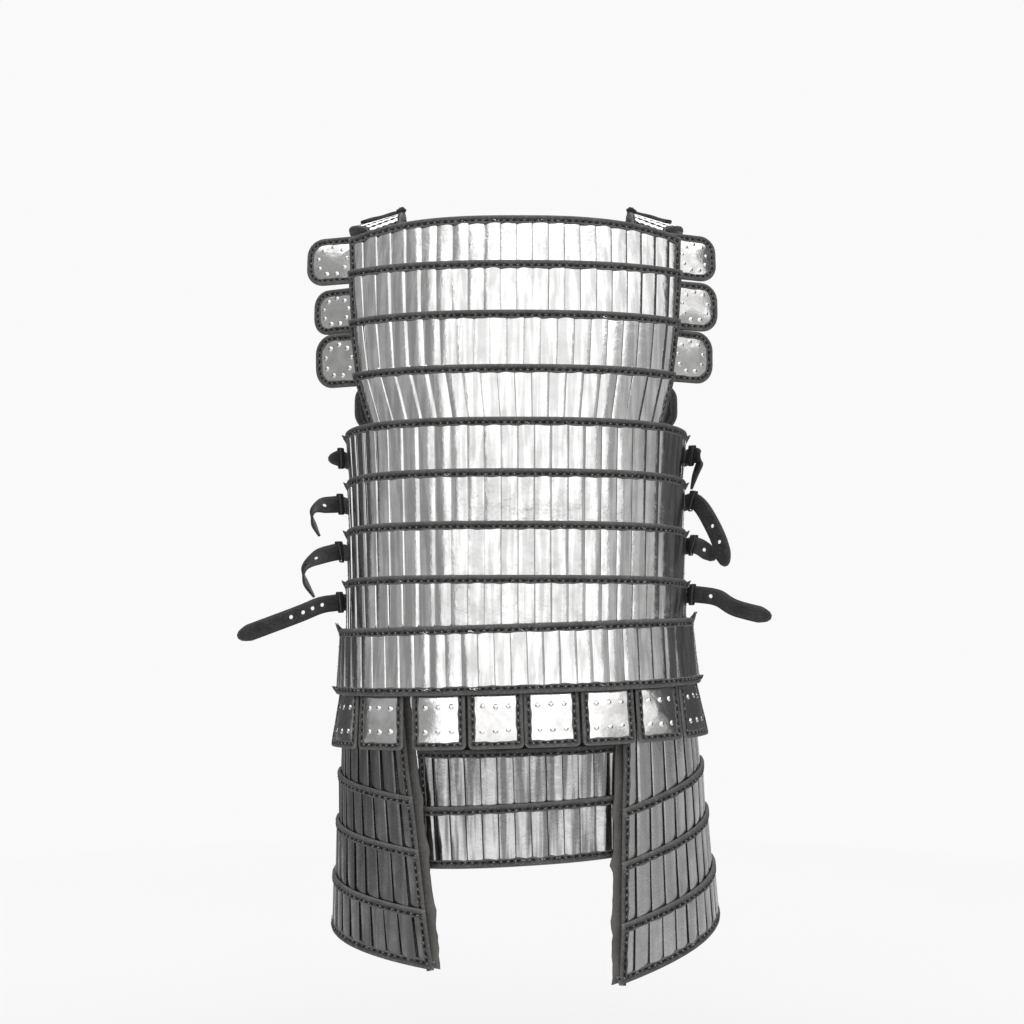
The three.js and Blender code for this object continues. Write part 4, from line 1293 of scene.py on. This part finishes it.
def make_side_straps(dice):
    """The straps on each side, with their keepers. Each comes from the front and ends in a free tail."""
    for name, (side, height, turn, tail, holes) in SIDE_STRAPS.items():
        ribbon = side_ribbon(side, height, turn, tail)
        shape = Shape()
        add_strap(shape, ribbon, STRAP_THICKNESS, holes)
        strap = shape.make(f"{name}_leather", [BLACK], "strap_leather", sharp=60)
        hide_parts(name)
        loop = Shape()
        add_keeper(loop, ribbon, KEEPER_PLACE, KEEPER_WIDTH, STRAP_THICKNESS, dice)
        keeper = loop.make(f"{name}_keeper", [BLACK], "strap_leather", sharp=60)


def shoulder_ribbon(side):
    """The skin of a shoulder strap, from its end behind to its end in front."""
    inner = [(side * SHOULDER_INNER, y, z) for y, z, _, _ in SHOULDER_STATIONS]
    outer = [
        (side * x, y, z - SHOULDER_FALL * (x - SHOULDER_INNER)) for _, z, x, y in SHOULDER_STATIONS
    ]
    edges = even_edges([np.array(line) * MM for line in (inner, outer)], 5 * MM)
    return Ribbon(*(edges if side < 0 else reversed(edges)))


def make_lames(name, ribbon, dice):
    """The narrow scalloped plates across a shoulder strap."""
    steel = Shape()
    for k in range(LAMES):
        low = ribbon.length * (LAMES_START + LAMES_SHARE * k / LAMES)
        high = low + LAME_COVER * LAMES_SHARE * ribbon.length / LAMES
        half = min(ribbon.half_width(low), ribbon.half_width(high)) - 4 * MM
        columns = np.linspace(-half, half, 41)
        scallop = SCALLOP * np.abs(np.sin((columns / SCALLOP_PITCH + 0.5 * k) * math.pi))
        profile = [(low, 1.3), (low, 4.2), (mix(low, high, 0.5), 4.8), (high, 4.4), (high, 1.3)]
        loops = [ribbon.at(columns, along + scallop, out * MM) for along, out in profile]
        steel.add(np.stack(loops, axis=1), tube_faces(len(columns), len(loops)), 0, dice.random())
    return steel.make(f"{name}_shoulder_strap_lames", [POLISHED], "steel_plates")


def make_shoulder_cap(name, neck, ribbon, dice):
    """A leather cap over the strap's crest with a thick studded end, on the side where neck points."""
    pad = Shape()
    centre, length = ribbon.length * CAP_PLACE, CAP_LENGTH
    half = ribbon.half_width(centre)
    reach_in, reach_out = half + 1 * MM, half * 0.55
    spans = np.linspace(-1, 1, 15)
    grid = [
        [
            (neck * mix(-reach_out * math.sqrt(1 - 0.6 * s * s), reach_in, v), centre + s * length / 2)
            for v in np.linspace(0, 1, 17)
        ]
        for s in spans
    ]

    def crown(distance, place):
        far = np.abs((place - centre) / (length / 2))
        return 1.6 * MM * (1 - far**2) + 0.3 * MM * np.sin(distance / (4 * MM))

    thick_sheet(pad, ribbon, grid, CAP_TOP, CAP_FOOT, crown)
    rim = [(neck * (reach_in - 1 * MM), centre + s * length / 2, 7.0 * MM, 1) for s in spans]
    if neck > 0:
        rim.reverse()
    add_binding(pad, ribbon, rim, *CAP_RIM, dice, stitched=False)
    for s in np.linspace(-0.8, 0.8, CAP_STUDS):
        add_stud(pad, ribbon, neck * (reach_in - 6 * MM), centre + s * length / 2, 10.2 * MM, dice, 1.0)
    return pad.make(f"{name}_shoulder_cap", [BLACK], "strap_leather", sharp=60)


def make_shoulder_strap(name, side, dice):
    ribbon = shoulder_ribbon(side)
    base = Shape()
    add_strap(base, ribbon, SHOULDER_LEATHER, tip=False, step=4 * MM)
    leather = base.make(f"{name}_shoulder_strap_leather", [BLACK], "strap_leather", sharp=60)
    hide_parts(f"{name}_shoulder_strap")
    lames = make_lames(name, ribbon, dice)
    trim = Shape()
    along = np.linspace(2 * MM, ribbon.length - 2 * MM, 40)
    right = [(ribbon.half_width(s), s, 2.6 * MM, 1) for s in reversed(along)]
    left = [(-ribbon.half_width(s), s, 2.6 * MM, 1) for s in along]
    for path in (right, left):
        add_binding(trim, ribbon, path, *SHOULDER_BINDING, dice)
    binding = trim.make(f"{name}_shoulder_strap_binding", [CHARCOAL, THREAD], "backing_leather")
    cap = make_shoulder_cap(name, side, ribbon, dice)


# ---- Studio ----

CAMERA_DISTANCE, EYE_HEIGHT, CAMERA_SIDE = 1.70, -0.455, -0.005
CAMERA_PITCH, CAMERA_SHIFT = math.radians(2.12), 0.05
CAMERA_LENS, CAMERA_SENSOR = 49.85, 36  # in mm
FLOOR_HEIGHT, FLOOR_RADIUS = -1.12, 2.6
LIGHT_DISTANCE = 2.6
PALE, ROOM_LIGHT = 0.95, 0.09  # grey of the room, as the camera sees it and as the armour does
OVERHEAD, OVERHEAD_ANGLE = 3.12, math.radians(100)
# Soft boxes: name, azimuths and elevations in degrees, and radiance.
LIGHTS = [
    ("key", (-33, 30), (-6, 50), 1.45),
    ("key_low", (-33, 30), (-14, -6), 0.42),
    ("right_high", (30, 66), (20, 50), 1.2),
    ("right_wall", (30, 76), (-14, 20), 0.5),
    ("right_low", (76, 150), (-14, -2.5), 0.7),
    ("left_wall", (-95, -33), (-14, 50), 0.36),
    ("left_low", (-150, -95), (-14, -2.5), 0.25),
    ("far_wall", (154, 186), (-12, 50), 1.3),
    ("far_wall_dim", (186, 206), (-12, 50), 0.22),
]


def make_camera():
    data = bpy.data.cameras.new("camera")
    data.lens, data.sensor_width = CAMERA_LENS, CAMERA_SENSOR
    data.shift_y = CAMERA_SHIFT
    camera = put("camera", data)
    camera.location = (CAMERA_SIDE, -CAMERA_DISTANCE, EYE_HEIGHT)
    camera.rotation_euler = (math.pi / 2 + CAMERA_PITCH, 0, 0)
    bpy.context.scene.camera = camera


def make_light(name, azimuths, elevations, radiance, floor):
    """A soft box that fills a range of directions, as the armour's middle sees them.

    Azimuth 0 is the camera's side, and azimuths grow towards +X. It leaves the floor dark.
    """
    half_span = math.radians(azimuths[1] - azimuths[0]) / 2
    low, high = (LIGHT_DISTANCE * math.tan(math.radians(elevation)) for elevation in elevations)
    data = bpy.data.lights.new(name, "AREA")
    data.shape = "RECTANGLE"
    data.size, data.size_y = 2 * LIGHT_DISTANCE * math.tan(half_span), high - low
    data.energy = radiance * math.pi * data.size * data.size_y
    light = put(name, data)
    angle = math.radians(sum(azimuths) / 2)
    out = Vector((math.sin(angle), -math.cos(angle), 0))
    light.location = out * LIGHT_DISTANCE + Vector((0, 0, EYE_HEIGHT + (low + high) / 2))
    light.rotation_euler = (-out).to_track_quat("-Z", "Y").to_euler()
    light.visible_camera = False
    spared = bpy.data.collections.new(f"{name}_spares")
    spared.objects.link(floor)
    light.light_linking.receiver_collection = spared
    spared.collection_objects[0].light_linking.link_state = "EXCLUDE"


def make_floor():
    made = Nodes("pale_floor_paint")
    tone = made.blend(made.noise(made.place(), 1.5, 2.0), grey(0.87), grey(0.89))
    made.connect(Base_Color=tone)
    made.shader.inputs["Roughness"].default_value = 0.9
    made.shader.inputs["Specular IOR Level"].default_value = 0.1
    turns = np.linspace(0, 2 * math.pi, 96, endpoint=False)
    rim = [(FLOOR_RADIUS * math.cos(a), FLOOR_RADIUS * math.sin(a), FLOOR_HEIGHT) for a in turns]
    mesh = bpy.data.meshes.new("floor")
    mesh.from_pydata(rim, [], [range(len(rim))])
    mesh.materials.append(made.material)
    floor = put("floor", mesh)
    return floor


def make_overhead():
    """A wide soft light from above, the only one that the floor takes."""
    data = bpy.data.lights.new("overhead", "SUN")
    data.energy, data.angle = OVERHEAD, OVERHEAD_ANGLE
    put("overhead", data)


def make_world():
    """A pale room, whose walls light the armour only dimly."""
    world = bpy.data.worlds.new("pale_room")
    world.use_nodes = True
    tree = world.node_tree
    tree.nodes.clear()
    output = tree.nodes.new("ShaderNodeOutputWorld")
    choose = tree.nodes.new("ShaderNodeMixShader")
    rays = tree.nodes.new("ShaderNodeLightPath")
    dim, pale = tree.nodes.new("ShaderNodeBackground"), tree.nodes.new("ShaderNodeBackground")
    dim.inputs["Color"].default_value = grey(ROOM_LIGHT)
    pale.inputs["Color"].default_value = grey(PALE)
    tree.links.new(rays.outputs["Is Camera Ray"], choose.inputs[0])
    tree.links.new(dim.outputs[0], choose.inputs[1])
    tree.links.new(pale.outputs[0], choose.inputs[2])
    tree.links.new(choose.outputs[0], output.inputs["Surface"])
    bpy.context.scene.world = world


def make_studio():
    floor = make_floor()
    make_world()
    make_overhead()
    for name, azimuths, elevations, radiance in LIGHTS:
        make_light(name, azimuths, elevations, radiance, floor)
    bpy.context.scene.view_settings.view_transform = "Standard"


# ---- The armour ----

def make_armour():
    """Every piece, in the order that the random draws depend on."""
    dice = random.Random(11)
    back, back_leather, back_trim = make_torso("back", -1, 0, BACK_ENDS, dice)
    front, front_leather, front_trim = make_torso("front", 1, 1, FRONT_ENDS, dice)
    back_trim.append(make_waist("back", -1, dice))
    front_trim.append(make_waist("front", 1, dice))
    flap_trim = make_flaps(dice)
    for name, side in SIDES:
        for number, spec in enumerate(BACK_EARS[name], 1):
            skin = ear_skin(back, spec, -1, side, BACK_ENDS[name])
            back_trim.append(make_ear(f"back_ear_{name}_{number}", skin, spec, True, dice))
        skin = ear_skin(front, FRONT_EAR, 1, side, FRONT_ENDS[name])
        front_trim.append(make_ear(f"front_ear_{name}", skin, FRONT_EAR, False, dice))
    back_trim += flap_trim[:-1]
    front_trim += flap_trim[-1:]
    for leather, trim, first, ends in (
        (back_leather, back_trim, 0, BACK_ENDS), (front_leather, front_trim, 1, FRONT_ENDS),
    ):
        width = 2 * (back.half_length(TOPS[5]) - SIDE_GAP / 2)
        upper_width = 2 * back.reach(armhole_width(ends["right"], TOPS[2]), TOPS[2])
    make_skirt(dice)
    for name, side in SIDES:
        make_tasset(name, side, dice)
        make_shoulder_strap(name, side, dice)
    make_side_straps(dice)


make_camera()
make_studio()
make_armour()
